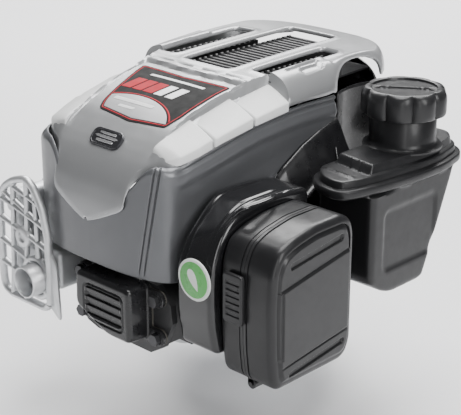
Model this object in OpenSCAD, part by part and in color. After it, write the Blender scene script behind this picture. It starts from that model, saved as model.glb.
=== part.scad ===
// Small vertical-shaft gasoline engine, built as separate pieces.
// Frame: the crankshaft axis is Z, the mounting face is z = 0 and +Z is up.
// The cylinder head is at the front (-Y); air cleaner and fuel tank are at +X, the muffler at -X.

/* [Base] */
// Radius of the four mounting lugs' outer edge
flange_r = 114; // [112:1:118]
// Thickness of the mounting flange
flange_t = 8; // [6:0.5:9]
// Radius of the circle of mounting holes (an 8 inch bolt circle)
bolt_circle_r = 101.6; // [100:0.1:103]
// Radius of one mounting hole
mount_hole_r = 4.3; // [4:0.1:5]
// Wall thickness of the crankcase castings
case_wall = 5; // [4:0.5:6]

/* [Crank train] */
// Radius of the power take-off shaft (7/8 inch shaft)
pto_r = 11.11; // [10.5:0.01:11.5]
// Length of the power take-off shaft below the mounting face
pto_len = 62; // [50:1:80]
// Radius of the main journals
journal_r = 12.7; // [12:0.1:13]
// Running clearance of shafts in their bores, on the radius
run_gap = 0.05; // [0.02:0.01:0.09]
// Radius of the crank throw, half the stroke
throw_r = 22.25; // [21:0.25:23]
// Length of the connecting rod between its centres
rod_len = 80; // [79:0.5:82]
// Height of the cylinder axis above the mounting face
cyl_z = 75; // [74:0.5:76]
// Gear module of the timing gears
gear_mod = 2; // [2:1:2]
// Teeth on the crankshaft gear
crank_teeth = 20; // [20:1:20]
// Teeth on the governor gear
gov_teeth = 16; // [16:1:16]

/* [Cylinder] */
// Radius of the cylinder bore
bore_r = 34; // [33:0.5:34]
// Outer radius of the cylinder barrel
barrel_r = 40; // [39:0.5:41]
// Place of the cylinder's deck along Y
deck_y = -126; // [-127:0.5:-125]
// Place of the head's front face along Y
head_front_y = -198; // [-199:0.5:-196]
// Lift axis of valves, as a distance from the cylinder axis along Z
valve_dz = 15; // [14:0.5:16]
// Place of the valves along X
valve_x = 8; // [7:0.5:9]

/* [Flywheel and starter] */
// Radius of the flywheel rim
fly_r = 84; // [80:1:85]
// Height of the flywheel's lower face
fly_z = 142; // [141:0.5:143]
// Radius of the rope pulley
pulley_r = 48; // [44:1:52]

/* [Housing] */
// Radius of the rear bowl of the blower housing
bowl_r = 115; // [114:0.5:116]
// Height of the housing's lower front edge
shroud_z = 108; // [107.5:0.5:109]
// Wall thickness of the housing shells
shell_t = 2.5; // [2:0.1:3]
// Height of the bowl's lower edge
bowl_z = 126.3; // [126.2:0.1:127]

/* [Fuel tank] */
// Centre of the filler neck along X
neck_x = 148; // [147:0.5:149]
// Centre of the filler neck along Y
neck_y = 32; // [31:0.5:34]
// Outer radius of the filler neck
neck_r = 30; // [29:0.5:31]
// Radius of the fuel cap over its grip lobes
cap_r = 39; // [38:0.5:40]
// Number of grip lobes on the fuel cap
cap_lobes = 9; // [6:1:12]

/* [Air cleaner] */
// Side face of the air cleaner base that the cowl meets
base_x = 134.3; // [134.2:0.1:134.6]
// Parting plane between the base and the cover
part_x = 160; // [159:0.5:161]
// Outer face of the cover
face_x = 197; // [192:1:198]
// Wall thickness of the air cleaner
af_wall = 3; // [2.5:0.5:3.5]

/* [Muffler] */
// Radius of the exhaust outlet's hole
outlet_r = 13; // [11:0.5:13.5]
// Radius of the exhaust outlet tube
outlet_outer_r = 15; // [14.5:0.5:16]

/* [Hidden] */
$fn = 64;
gap = 0.3;
cam_teeth = 2 * crank_teeth;
gear_z = 14;
gear_t = 13;
crank_pitch_r = gear_mod * crank_teeth / 2;
cam_pitch_r = gear_mod * cam_teeth / 2;
gov_pitch_r = gear_mod * gov_teeth / 2;
cam_dist = crank_pitch_r + cam_pitch_r;
cam_angle = -30;
cam_x = cam_dist * cos(cam_angle);
cam_y = cam_dist * sin(cam_angle);
gov_angle = 75;
gov_dist = cam_pitch_r + gov_pitch_r;
gov_x = cam_x + gov_dist * cos(gov_angle);
gov_y = cam_y + gov_dist * sin(gov_angle);
cam_phase = cam_angle + 180 + 180 / cam_teeth;
gov_phase = gov_angle + 180 + ((gov_angle - cam_phase) * cam_teeth / 360 - 0.5) * 360 / gov_teeth;
case_z = 34.5;
case_top_z = 121;
big_end_r = 20;
pin_r = 13;
web_t = 11.7;
rod_w = 20;
lobe_base_r = 10;
lobe_nose_r = 5;
push_x = cam_x;
wrist_y = -(throw_r + rod_len);
crown_y = wrist_y - 21.75;
wrist_r = 7;
port_y = -146;
in_z = cyl_z + valve_dz;
ex_z = cyl_z - valve_dz;
carb_x0 = 91.3;
carb_x1 = 130.7;
throttle_x = 100;
choke_x = 120;
lever_z = 112;
gov_lever_x = 98;
gov_lever_y = 20;
gov_arm = 16;
throttle_arm = 12;
rest_throttle_angle = -35;
rest_gov_angle = 0.75 * rest_throttle_angle;
hinge_x = 158;
hinge_z = 38;
latch_x = 143;
latch_y = -192.5;
pocket_x = 148;
pocket_y = 42;
pocket_r = 64;
brake_x = -97;
brake_y = -6;
coil_angle = 110;
plate_z = 122;
plate_t = 4;
plug_seat = 22;
bolt_seat_y = deck_y - 9;
muffler_side_x = -101.5;
cover_low = [-15, 53];
cover_high = [62, 107.6];
left_bulge = 12;
fill_foot = 62;
fill_z = 22;
fill_len = 88;
fill_bore_r = 8.5;
muffler_low_z = 104;
pad_proud = 2.6;
top_web_z = cyl_z + rod_w / 2 + web_t;

// Hood stations: y, half width of the flat top, half width of the shoulder, top z, shoulder z
hood_rows = [
    [-218, 2, 4, 158, 156], [-207, 43, 45, 182, 179], [-198, 48, 52, 203, 198], [-187, 56, 66, 221, 212],
    [-176, 61, 76, 228.5, 215], [-163, 65, 80, 235, 217], [-137, 68, 83, 247, 224],
    [-98, 72, 87, 260, 235], [-57, 76, 90, 264, 240], [14, 79, 92, 266.5, 240], [77, 78, 90, 267, 243],
    [104, 42, 62, 266, 255]];
// Housing stations: y, half width, top z
housing_rows = [[-204, 44, 186], [-196, 79, 205], [-163, 85, 216], [-98, 89, 235], [-15.4, 92, 240]];

// ---- shared shapes ----

// Cylinder along X from x0 to x1
module rod_x(y, z, r, x0, x1) {
    translate([x0, y, z]) rotate([0, 90, 0]) cylinder(r = r, h = x1 - x0);
}

// Cylinder along Y from y0 (front) to y1 (back)
module rod_y(x, z, r, y0, y1) {
    translate([x, y1, z]) rotate([90, 0, 0]) cylinder(r = r, h = y1 - y0);
}

// Box from its lowest corner to its highest corner
module block(a, b) {
    translate(a) cube(b - a);
}

// Outline in Y and Z, extruded along X
module side_prism(points, x0, x1) {
    translate([x0, 0, 0]) rotate([90, 0, 90]) linear_extrude(x1 - x0) polygon(points);
}

// Outline in X and Z, extruded along Y
module front_prism(points, y0, y1) {
    translate([0, y1, 0]) rotate([90, 0, 0]) linear_extrude(y1 - y0) polygon(points);
}

// Rectangle with round corners, from (x0, y0) to (x1, y1)
module round_rect(x0, y0, x1, y1, r) {
    translate([x0 + r, y0]) square([x1 - x0 - 2 * r, y1 - y0]);
    translate([x0, y0 + r]) square([x1 - x0, y1 - y0 - 2 * r]);
    for (x = [x0 + r, x1 - r], y = [y0 + r, y1 - r]) translate([x, y]) circle(r = r);
}

// Flat ring around Z
module ring(r_out, r_in, z0, z1) {
    translate([0, 0, z0]) difference() {
        cylinder(r = r_out, h = z1 - z0);
        translate([0, 0, -1]) cylinder(r = r_in, h = z1 - z0 + 2);
    }
}

// Outline of a spur gear with straight-sided teeth and a tooth centred on +X
module gear_outline(teeth) {
    pitch_r = gear_mod * teeth / 2;
    tip_r = pitch_r + 0.85 * gear_mod;
    root_r = pitch_r - 1.15 * gear_mod;
    step = 360 / teeth;
    polygon([for (i = [0:teeth - 1], k = [[root_r, -0.33], [tip_r, -0.12], [tip_r, 0.12], [root_r, 0.33]])
        k[0] * [cos((i + k[1]) * step), sin((i + k[1]) * step)]]);
}

// Plan outline of the crankcase, drawn inwards by the amount inset
module case_outline(inset) {
    circle(r = 66 - inset);
    translate([cam_x, cam_y]) circle(r = 50 - inset);
    translate([gov_x, gov_y]) circle(r = 26 - inset);
}

// Hexagon-headed bolt along +Z, its seat at the origin
module hex_bolt(shank) {
    cylinder(r = 6.2, h = 1.4);
    translate([0, 0, 1.4]) cylinder(r = 5.6, h = 4.4, $fn = 6);
    translate([0, 0, -shank]) cylinder(r = 3, h = shank);
}

// ---- crankcase ----

module sump() {
    color("silver") difference() {
        union() {
            cylinder(r = 92, h = flange_t);
            for (a = [0:90:270]) rotate(a) translate([bolt_circle_r, 0]) {
                cylinder(r = flange_r - bolt_circle_r, h = flange_t + 2);
                translate([-18, -11, 0]) cube([18, 22, flange_t]);
            }
            linear_extrude(flange_t) case_outline(0);
            linear_extrude(case_z - 0.5) difference() {
                case_outline(0);
                case_outline(case_wall);
            }
            cylinder(r = 25, h = 13.5);
            translate([cam_x, cam_y, 0]) cylinder(r = 13, h = 13);
            translate([gov_x, gov_y, 0]) cylinder(r = 3, h = 34);
            translate([gov_x, gov_y, 0]) cylinder(r = 7, h = gear_z - gap);
        }
        translate([0, 0, -1]) cylinder(r = journal_r + run_gap, h = 30);
        translate([0, 0, -1]) cylinder(r = 20, h = 7.5);
        translate([cam_x, cam_y, flange_t - 2]) cylinder(r = 8 + run_gap, h = 20);
        for (a = [0:90:270]) rotate(a) translate([bolt_circle_r, 0, -1]) cylinder(r = mount_hole_r, h = 20);
    }
}

module oil_seals() {
    color("dimgray") {
        ring(19.95, journal_r + run_gap, 0.3, 6.3);
        ring(19.95, journal_r + run_gap, 124.2, 130);
    }
}

module cylinder_block() {
    color("silver") difference() {
        union() {
            difference() {
                translate([0, 0, case_z]) linear_extrude(case_top_z - case_z) case_outline(0);
                translate([0, 0, case_z - 1]) linear_extrude(case_top_z - case_z - 7) case_outline(case_wall);
            }
            cylinder_fins();
            rod_y(0, cyl_z, barrel_r, deck_y, -60);
            deck_plate(deck_y, deck_y + 9);
            translate([0, 0, 104]) cylinder(r = 25, h = 26);
            translate([cam_x, cam_y, 104]) cylinder(r = 13, h = 12);
            for (z = [in_z, ex_z]) rod_y(push_x, z, 9, -92, -60);
        }
        rod_y(0, cyl_z, bore_r, deck_y - 1, -40);
        translate([0, 0, 100]) cylinder(r = journal_r + run_gap, h = 40);
        translate([0, 0, 124]) cylinder(r = 20, h = 10);
        translate([cam_x, cam_y, 100]) cylinder(r = 8 + run_gap, h = 16);
        for (z = [in_z, ex_z]) rod_y(push_x, z, 5 + run_gap, deck_y - 1, -50);
        for (p = head_bolt_places()) rod_y(p[0], p[1], 3 + run_gap, deck_y - 1, deck_y + 7);
    }
}

// Cooling fins around the barrel, kept clear of the push rods
module cylinder_fins() {
    intersection() {
        for (y = [-72:-9:-112]) rod_y(0, cyl_z, 54, y - 2.6, y);
        block([-54, -130, case_z + 0.5], [44, -60, 118]);
    }
}

// Flat plate shared by the deck, the gasket and the head's first face
module deck_plate(y0, y1) {
    translate([0, y1, 0]) rotate([90, 0, 0]) linear_extrude(y1 - y0) round_rect(-44, 34, 64, 114, 10);
}

// Head bolt centres as x, z
function head_bolt_places() = [[-37, 41], [-37, 107], [38, 41], [38, 107]];

// ---- moving crank train ----

module crankshaft() {
    color("gray") difference() {
        union() {
            translate([0, 0, -pto_len]) cylinder(r = pto_r, h = pto_len + 1);
            cylinder(r = journal_r, h = cyl_z - rod_w / 2 - web_t + 1);
            for (z = [cyl_z - rod_w / 2 - web_t - gap, cyl_z + rod_w / 2 + gap]) crank_web(z);
            translate([0, -throw_r, cyl_z - rod_w / 2 - 1]) cylinder(r = pin_r, h = rod_w + 2);
            translate([0, 0, top_web_z - 1]) cylinder(r = journal_r, h = 141 - top_web_z);
            translate([0, 0, 139]) cylinder(r = 11, h = fly_z + 30 - 139);
            translate([0, 0, fly_z + 29]) cylinder(r = 7, h = 15);
        }
        translate([0, 0, -pto_len - 1]) cylinder(r = 4, h = 26);
        block([-2.4, -pto_r - 1, -pto_len + 6], [2.4, -pto_r + 2.4, -12]);
    }
}

// Crank web with its counterweight opposite the crank pin
module crank_web(z) {
    translate([0, 0, z]) linear_extrude(web_t) {
        circle(r = 18);
        translate([0, -throw_r]) circle(r = 16);
        translate([-16, -throw_r]) square([32, throw_r]);
        intersection() {
            circle(r = 43);
            translate([-36, 0]) square([72, 44]);
        }
    }
}

module crank_gear() {
    color("darkgray") translate([0, 0, gear_z]) difference() {
        rotate(cam_angle) linear_extrude(gear_t) gear_outline(crank_teeth);
        translate([0, 0, -1]) cylinder(r = journal_r + 0.02, h = gear_t + 2);
    }
}

module rod_big_end() {
    color("lightgray") translate([0, -throw_r, cyl_z - rod_w / 2]) difference() {
        union() {
            cylinder(r = 19, h = rod_w);
            for (s = [-1, 1]) translate([s * 17.4, -3, 3]) linear_extrude(rod_w - 6)
                round_rect(-3.4, 0, 3.4, 12, 1.5);
        }
        translate([0, 0, -1]) cylinder(r = pin_r + run_gap, h = rod_w + 2);
        translate([-25, -0.15, -1]) cube([24 - pin_r, 0.3, rod_w + 2]);
    }
}

module connecting_rod() {
    beam_y = -(throw_r + big_end_r + 1);
    color("lightgray") difference() {
        union() {
            block([-8, wrist_y, cyl_z - 7], [8, beam_y, cyl_z + 7]);
            translate([0, wrist_y, cyl_z - 9]) cylinder(r = 12, h = 18);
        }
        translate([0, wrist_y, cyl_z - 20]) cylinder(r = wrist_r + run_gap, h = 40);
        for (s = [-1, 1]) translate([-5, wrist_y + 15, cyl_z + s * 8.5 - 4.5]) cube([10, 38, 9]);
    }
}

module wrist_pin() {
    color("gainsboro") translate([0, wrist_y, cyl_z]) difference() {
        translate([0, 0, -29]) cylinder(r = wrist_r, h = 58);
        translate([0, 0, -30]) cylinder(r = 4, h = 60);
    }
}

module piston() {
    skirt_y = wrist_y + 16;
    color("gainsboro") difference() {
        rod_y(0, cyl_z, bore_r - 0.08, crown_y, skirt_y);
        rod_y(0, cyl_z, bore_r - 5, crown_y + 8, skirt_y + 1);
        translate([0, wrist_y, cyl_z - 40]) cylinder(r = wrist_r + 0.02, h = 80);
        for (y = ring_places()) difference() {
            rod_y(0, cyl_z, bore_r + 2, y - 1.4, y);
            rod_y(0, cyl_z, bore_r - 3, y - 2, y + 1);
        }
    }
}

// Back faces of the three ring grooves
function ring_places() = [for (i = [0:2]) crown_y + 4.4 + 3.4 * i];

module piston_rings() {
    color("dimgray") for (y = ring_places()) difference() {
        rod_y(0, cyl_z, bore_r - 0.03, y - 1.3, y - 0.1);
        rod_y(0, cyl_z, bore_r - 2.9, y - 2, y + 1);
        block([-0.3, y - 2, cyl_z + 20], [0.3, y + 1, cyl_z + 40]);
    }
}

module camshaft() {
    color("gray") translate([cam_x, cam_y, 0]) {
        translate([0, 0, flange_t - 1.5]) cylinder(r = 8, h = 108);
        translate([0, 0, gear_z]) rotate(cam_phase) linear_extrude(gear_t - 1) difference() {
            gear_outline(cam_teeth);
            for (a = [0:60:300]) rotate(a) translate([23, 0]) circle(r = 7);
        }
        for (p = [[in_z, 60], [ex_z, 130]])
            translate([0, 0, p[0] - 4]) rotate(p[1]) linear_extrude(8) cam_lobe();
    }
}

// Cam lobe with its nose along +X
module cam_lobe() {
    nose_d = 9.5;
    tangent = acos((lobe_base_r - lobe_nose_r) / nose_d);
    circle(r = lobe_base_r);
    translate([nose_d, 0]) circle(r = lobe_nose_r);
    polygon([lobe_base_r * [cos(tangent), sin(tangent)], lobe_base_r * [cos(tangent), -sin(tangent)],
        [nose_d, 0] + lobe_nose_r * [cos(tangent), -sin(tangent)],
        [nose_d, 0] + lobe_nose_r * [cos(tangent), sin(tangent)]]);
}

module governor_gear() {
    color("ivory") translate([gov_x, gov_y, gear_z]) difference() {
        union() {
            rotate(gov_phase) linear_extrude(gear_t - 1) gear_outline(gov_teeth);
            translate([0, 0, gear_t - 2]) cylinder(r = 11, h = 5);
            for (s = [-1, 1]) translate([s * 9 - 3, -5, gear_t - 1]) cube([6, 10, 8]);
        }
        translate([0, 0, -1]) cylinder(r = 3 + run_gap, h = 40);
    }
}

module tappets() {
    foot_y = cam_y - lobe_base_r - lobe_nose_r;
    color("gray") for (z = [in_z, ex_z]) {
        rod_y(push_x, z, 8, foot_y - 3.5, foot_y - 0.5);
        rod_y(push_x, z, 5, -90, foot_y - 3);
    }
}

module push_rods() {
    color("silver") for (z = [in_z, ex_z]) rod_y(push_x, z, 2.5, -180, -90);
}

// ---- cylinder head ----

module head_gasket() {
    color("dimgray") difference() {
        deck_plate(deck_y - 1, deck_y);
        rod_y(0, cyl_z, bore_r + 1, deck_y - 2, deck_y + 1);
        for (z = [in_z, ex_z]) rod_y(push_x, z, 6, deck_y - 2, deck_y + 1);
        for (p = head_bolt_places()) rod_y(p[0], p[1], 3.2, deck_y - 2, deck_y + 1);
    }
}

module cylinder_head() {
    face_y = deck_y - 1;
    color("silver") difference() {
        union() {
            deck_plate(face_y - 8, face_y);
            block([-26, -164, 44], [66, face_y - 4, 106]);
            for (y = [-160:8:-144]) block([-42, y, 38], [70, y + 2.6, 111]);
            block([-14, head_front_y, 46], [66, -163, 107]);
            front_prism(flange_points(), head_front_y, head_front_y + 6);
            rod_x(port_y, in_z, 16, 60, 76);
            rod_x(port_y, ex_z, 15, -46, -20);
        }
        rod_y(0, cyl_z, bore_r - 1, face_y - 5, face_y + 1);
        block([-9, head_front_y - 1, 51], [61, -164, 102]);
        for (z = [in_z, ex_z]) {
            rod_y(push_x, z, 6, -170, face_y + 1);
            rod_y(valve_x, z, 2.8, -170, face_y);
            rod_y(valve_x, z, 10.5, port_y - 6, face_y - 4);
        }
        rod_x(port_y, in_z, 10, valve_x, 77);
        rod_x(port_y, ex_z, 10, -47, valve_x);
        for (p = head_bolt_places()) {
            rod_y(p[0], p[1], 3.2, -170, face_y + 1);
            rod_y(p[0], p[1], 7, -163, bolt_seat_y);
        }
        for (p = cover_bolt_places()) rod_y(p[0], p[1], 3.05, head_front_y - 1, head_front_y + 8);
        plug_axis() translate([0, 0, -2]) cylinder(r = 7.05, h = 60);
        plug_axis() translate([0, 0, plug_seat]) cylinder(r = 14, h = 60);
    }
    color("silver") for (z = [in_z, ex_z]) rod_y((valve_x + push_x) / 2, z, 3.5, -184, -163);
}

// Front flange of the head as x, z points
function flange_points() = [[-34, 100], [-40, 84], [-38, 56], [-26, 44], [-12, 40], [58, 40], [74, 50],
    [86, 76], [84, 92], [68, 107], [-26, 107]];

// Rocker cover bolt centres as x, z
function cover_bolt_places() = [[-24, 57], [-24, 96], [72, 60], [72, 96]];

// Frame of the spark plug, with +Z along the plug towards its terminal
module plug_axis() {
    translate([-15, -131, 92]) rotate([45, 0, 0]) children();
}

module valves() {
    face_y = deck_y - 1;
    for (v = [[in_z, 12.2], [ex_z, 11.2]]) {
        color("gray") rod_y(valve_x, v[0], v[1], face_y - 4.6, face_y - 2.2);
        color("gray") rod_y(valve_x, v[0], 2.7, -183, face_y - 4);
        color("gray") rod_y(valve_x, v[0], 8, -179.5, -177);
    }
}

module valve_springs() {
    coils = 4;
    pitch = 3.2;
    wire_r = 1;
    coil_r = 6.4;
    color("lightsteelblue") for (z = [in_z, ex_z]) translate([valve_x, -164.4, z]) rotate([90, 0, 0]) {
        for (i = [0:coils - 1]) translate([0, 0, wire_r + pitch * i]) rotate_extrude()
            translate([coil_r, 0]) circle(r = wire_r, $fn = 16);
        for (s = [-1, 1]) translate([s * coil_r, 0, wire_r]) cylinder(r = 0.7, h = pitch * (coils - 1));
    }
}

module rocker_arms() {
    pivot_x = (valve_x + push_x) / 2;
    color("slategray") for (z = [in_z, ex_z]) difference() {
        union() {
            block([valve_x - 5, -188, z - 4.5], [push_x + 5, -184.3, z + 4.5]);
            rod_y(pivot_x, z, 7, -189.5, -184.3);
            rod_y(push_x, z, 3.6, -186, -180.3);
            rod_y(valve_x, z, 3, -186, -183.3);
        }
        rod_y(pivot_x, z, 2, -192, -188);
    }
}

// Outline of the rocker cover in X and Z
module cover_outline(inset) {
    difference() {
        round_rect(cover_low[0] + inset, cover_low[1] + inset, cover_high[0] - inset, cover_high[1] - inset,
            10 - inset);
        translate([cover_low[0] + inset, cover_low[1] + inset]) rotate(-25.4)
            translate([-30, -20]) square([90, 39]);
    }
}

module rocker_cover_gasket() {
    color("dimgray") front_plate(head_front_y - 1, head_front_y) difference() {
        union() {
            cover_outline(0);
            cover_ears();
        }
        cover_outline(5);
        for (p = cover_bolt_places()) translate(p) circle(r = 3.2);
    }
}

// Ears that carry the rocker cover's bolts, as a flat outline
module cover_ears() {
    for (p = cover_bolt_places()) {
        translate(p) circle(r = 7.5);
        translate([p[0] < 0 ? p[0] : 50, p[1] - 7]) square([p[0] < 0 ? 26 : p[0] - 50, 14]);
    }
}

// Extrude a flat outline in X and Z from y0 to y1
module front_plate(y0, y1) {
    translate([0, y1, 0]) rotate([90, 0, 0]) linear_extrude(y1 - y0) children();
}

module rocker_cover() {
    back_y = head_front_y - 1;
    color("black") difference() {
        union() {
            front_plate(back_y - 4, back_y) {
                cover_outline(0);
                cover_ears();
            }
            front_plate(-222, back_y) cover_outline(1);
            front_plate(-225, -221) cover_outline(4);
        }
        front_plate(-219, back_y + 1) cover_outline(5);
        for (p = cover_bolt_places()) rod_y(p[0], p[1], 3.2, back_y - 9, back_y + 1);
    }
}

module hex_bolts() {
    color("lightgray") {
        for (p = cover_bolt_places())
            translate([p[0], head_front_y - 5, p[1]]) rotate([90, 0, 0]) hex_bolt(10);
        for (p = head_bolt_places()) translate([p[0], bolt_seat_y, p[1]]) rotate([90, 0, 0]) hex_bolt(12);
    }
}

module spark_plug() {
    color("white") plug_axis() difference() {
        union() {
            cylinder(r = 7, h = plug_seat + 1);
            translate([0, 0, plug_seat + 0.1]) cylinder(r = 10, h = 9, $fn = 6);
            translate([0, 0, 30]) cylinder(r1 = 6.5, r2 = 4.5, h = 20);
            translate([0, 0, 49]) cylinder(r = 3, h = 8);
        }
        translate([0, 0, -1]) cylinder(r = 4, h = 3);
    }
}

module spark_plug_boot() {
    color("black") plug_axis() difference() {
        union() {
            translate([0, 0, 34]) cylinder(r = 9, h = 30);
            translate([0, 0, 56]) rotate([-90, 0, 0]) translate([0, 0, -22]) cylinder(r = 5, h = 20);
        }
        translate([0, 0, 33]) cylinder(r = 6.7, h = 27);
    }
}

// ---- flywheel, fan and ignition ----

module flywheel() {
    color("gray") translate([0, 0, fly_z]) difference() {
        union() {
            cylinder(r = fly_r, h = 28);
            cylinder(r = 22, h = 30);
        }
        translate([0, 0, 9]) ring(fly_r - 14, 23, 0, 30);
        translate([0, 0, -1]) cylinder(r = 11.03, h = 40);
        for (a = [0:45:315]) rotate(a) translate([46, 0, -1]) cylinder(r = 9, h = 12);
    }
}

module flywheel_fan() {
    fan_z = fly_z + 28.1;
    color("dimgray") translate([0, 0, fan_z]) {
        ring(fly_r, 34, 0, 3);
        for (a = [0:18:342]) rotate(a) translate([60, 0, 2.5]) rotate(35)
            translate([-18, -1.25, 0]) cube([36, 2.5, 26]);
    }
}

module flywheel_nut() {
    color("silver") translate([0, 0, fly_z + 32.6]) difference() {
        cylinder(r = 12, h = 10, $fn = 6);
        translate([0, 0, -1]) cylinder(r = 7.03, h = 12);
    }
}

module starter_cup() {
    cup_z = fly_z + 30.1;
    color("lightgray") translate([0, 0, cup_z]) difference() {
        union() {
            cylinder(r = 20, h = 2.4);
            ring(30, 27.6, 14, 34);
            for (a = [0:60:300]) rotate(a) translate([17, -4, 0]) cube([13, 8, 2.4]);
            for (a = [0:60:300]) rotate(a) translate([27.7, -4, 0]) cube([2.2, 8, 15]);
        }
        translate([0, 0, -1]) cylinder(r = 7.2, h = 5);
    }
}

module ignition_coil() {
    color("darkslategray") rotate(coil_angle) {
        difference() {
            for (s = [-1, 1]) translate([fly_r + 0.5, s * 18 - 5, 150]) cube([22, 10, 12]);
            translate([0, 0, 140]) cylinder(r = fly_r + 0.4, h = 40);
        }
        translate([fly_r + 5, -12.9, 147]) cube([17, 25.8, 22]);
    }
}

module brake_lever() {
    color("gray") translate([brake_x, brake_y, 0]) {
        difference() {
            union() {
                translate([0, 0, 131]) cylinder(r = 8, h = 4);
                translate([-4, 0, 131]) cube([8, 36, 4]);
                translate([-2, 24, 131]) cube([20, 12, 24]);
            }
            translate([0, 0, 130]) cylinder(r = 3 + run_gap, h = 6);
            translate([-brake_x, -brake_y, 130]) cylinder(r = fly_r + 0.8, h = 30);
        }
    }
}

module back_plate() {
    color("dimgray") difference() {
        union() {
            translate([0, 0, plate_z]) cylinder(r = bowl_r - 1, h = plate_t);
            translate([brake_x, brake_y, plate_z]) cylinder(r = 3, h = 14);
            rotate(coil_angle) translate([fly_r + 13.5, 0, plate_z]) cylinder(r = 6, h = 24.7);
        }
        translate([0, 0, plate_z - 1]) cylinder(r = 32, h = 6);
        block([-46, -130, plate_z - 1], [46, -56, plate_z + 6]);
    }
}

// ---- housing and hood ----

// Solid under the hood's outer surface, moved and drawn in by the given amounts
module hood_solid(inset, back, down) {
    hull() for (s = hood_rows) translate([0, s[0] + back, 0])
        rotate([90, 0, 0]) linear_extrude(0.2) polygon([
            [-s[2] + inset, s[4] - down], [-s[1] + inset * s[1] / 80, s[3] - down],
            [s[1] - inset * s[1] / 80, s[3] - down], [s[2] - inset, s[4] - down]]);
}

// Solid inside the housing's outer surface, drawn in by inset
module housing_solid(inset, z0) {
    hull() for (s = housing_rows)
        block([-s[1] - (s[1] > 70 ? left_bulge : 0) + inset, s[0] + inset, z0],
            [s[1] - inset, s[0] + inset + 0.2, s[2]]);
}

// Opening that leaves room for the fuel cap
module cap_pocket(r, z0) {
    translate([pocket_x, pocket_y, z0]) cylinder(r = r, h = 200);
}

module blower_housing() {
    color("dimgray") difference() {
        housing_solid(0, shroud_z);
        housing_solid(shell_t, shroud_z - 5);
        block([-120, -20.3, 100], [120, 10, 260]);
        block([-120, -120, 100], [120, 10, bowl_z]);
        hood_solid(-0.6, -0.6, 0.4);
        translate([0, 0, 60]) hood_solid(-0.6, -0.6, 0);
        difference() {
            hood_solid(-pad_proud - gap, 0, -pad_proud - gap);
            block([-70.5, -230, 100], [70.5, 200, 300]);
            block([-120, -230, 100], [120, -186.5, 300]);
        }
        block([-75, -196, 220], [75, 0, 280]);
    }
}

// Space under and above the hood's rear half, as y, z points
under_hood = [[-30, 236], [14, 236], [77, 239], [104.8, 251], [104.8, 300], [-30, 300]];

// Profile of the rear bowl, a wall that leans in towards the hood at its top
module bowl_profile(inset) {
    polygon([[0, bowl_z - inset], [bowl_r - inset, bowl_z - inset], [bowl_r - inset, 222],
        [bowl_r - 3 - inset, 238], [bowl_r - 10 - inset, 249 - inset / 2],
        [bowl_r - 22 - inset, 257.5 - inset], [0, 262 - inset]]);
}

module rear_shell() {
    color("black") difference() {
        union() {
            intersection() {
                union() {
                    rotate_extrude($fn = 128) difference() {
                        bowl_profile(0);
                        bowl_profile(shell_t);
                    }
                    intersection() {
                        difference() {
                            cap_pocket(pocket_r + shell_t, bowl_z);
                            cap_pocket(pocket_r, bowl_z - 1);
                        }
                        translate([0, 0, bowl_z]) cylinder(r = bowl_r - 1, h = 238 - bowl_z);
                    }
                }
                block([-120, -19.5, 100], [120, 120, 300]);
            }
            for (s = [-1, 1]) block([s > 0 ? 93 : -bowl_r + 1.5, -20, bowl_z],
                [s > 0 ? bowl_r - 1.5 : -93, -17.5, 236]);
        }
        cap_pocket(pocket_r, bowl_z - 1);
        translate([0, 0, bowl_z - 20]) cylinder(r = bowl_r - 5, h = 21);
        side_prism(under_hood, -93, 93);
        rope_guide_axis() translate([0, 0, -30]) cylinder(r = 5, h = 60);
    }
}

// Frame of the rope outlet, with +Z pointing out of the bowl
module rope_guide_axis() {
    rotate(150) translate([bowl_r, 0, 229]) rotate([0, 90, 0]) children();
}

module hood() {
    color("silver") difference() {
        hood_solid(0, 0, 0);
        hood_solid(3, 3, 3);
        translate([0, 0, -6]) hood_solid(3, 3, 3);
        grille_openings(0, 200, 290);
        cap_pocket(pocket_r + shell_t + 0.3, 200);
    }
}

// The three air openings, as corner points of round rectangles
function opening_rows() = [[-66, -62, -46, 40], [-29, -72, 29, 76], [46, -58, 66, 38]];

module grille_openings(inset, z0, z1) {
    for (o = opening_rows()) translate([0, 0, z0]) linear_extrude(z1 - z0)
        round_rect(o[0] + inset, o[1] + inset, o[2] - inset, o[3] - inset, 4);
}

module side_pads() {
    ends = [[-186, -150], [-146, -105], [-101, -60], [-56, 8]];
    color("whitesmoke") difference() {
        intersection() {
            difference() {
                hood_solid(-pad_proud, 0, -pad_proud);
                hood_solid(-0.3, 0, -0.3);
                block([-71, -230, 100], [71, 200, 300]);
            }
            union() for (e = ends) block([-100, e[0], 100], [100, e[1], 300]);
        }
        cap_pocket(pocket_r + 4, 200);
    }
}

module intake_grille() {
    slat_z = 251;
    color("black") {
        difference() {
            union() for (o = opening_rows()) translate([0, 0, slat_z]) linear_extrude(6)
                round_rect(o[0] - 4, o[1] + 2, o[2] + 4, o[3] - 2, 4);
            for (o = opening_rows(), y = [o[1] + 8:9:o[3] - 10])
                block([o[0], y, slat_z - 1], [o[2], y + 5, slat_z + 8]);
        }
        for (x = [-37.5, 37.5]) block([x - 5, -40, slat_z], [x + 5, 30, slat_z + 3]);
        difference() {
            translate([0, 0, 214]) cylinder(r = 6, h = slat_z - 213);
            translate([0, 0, 213]) cylinder(r = 2.5, h = 16);
        }
        translate([0, 0, 245]) cylinder(r = 30, h = 6.5);
    }
}

// Frame of the sloping panel in front of the openings, +Z is its outward normal
module label_frame() {
    translate([0, -137, 246.4]) rotate([24, 0, 0]) children();
}

module label_panel() {
    color("black") intersection() {
        difference() {
            hood_solid(-1.5, 0, -1.5);
            hood_solid(-gap, 0, -gap);
        }
        label_frame() translate([0, 0, -20]) linear_extrude(40) polygon([[-50, -32], [-46, -36], [28, -28],
            [34, -24], [56, 24], [50, 29], [0, 33], [-50, 29], [-56, 24]]);
    }
}

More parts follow.
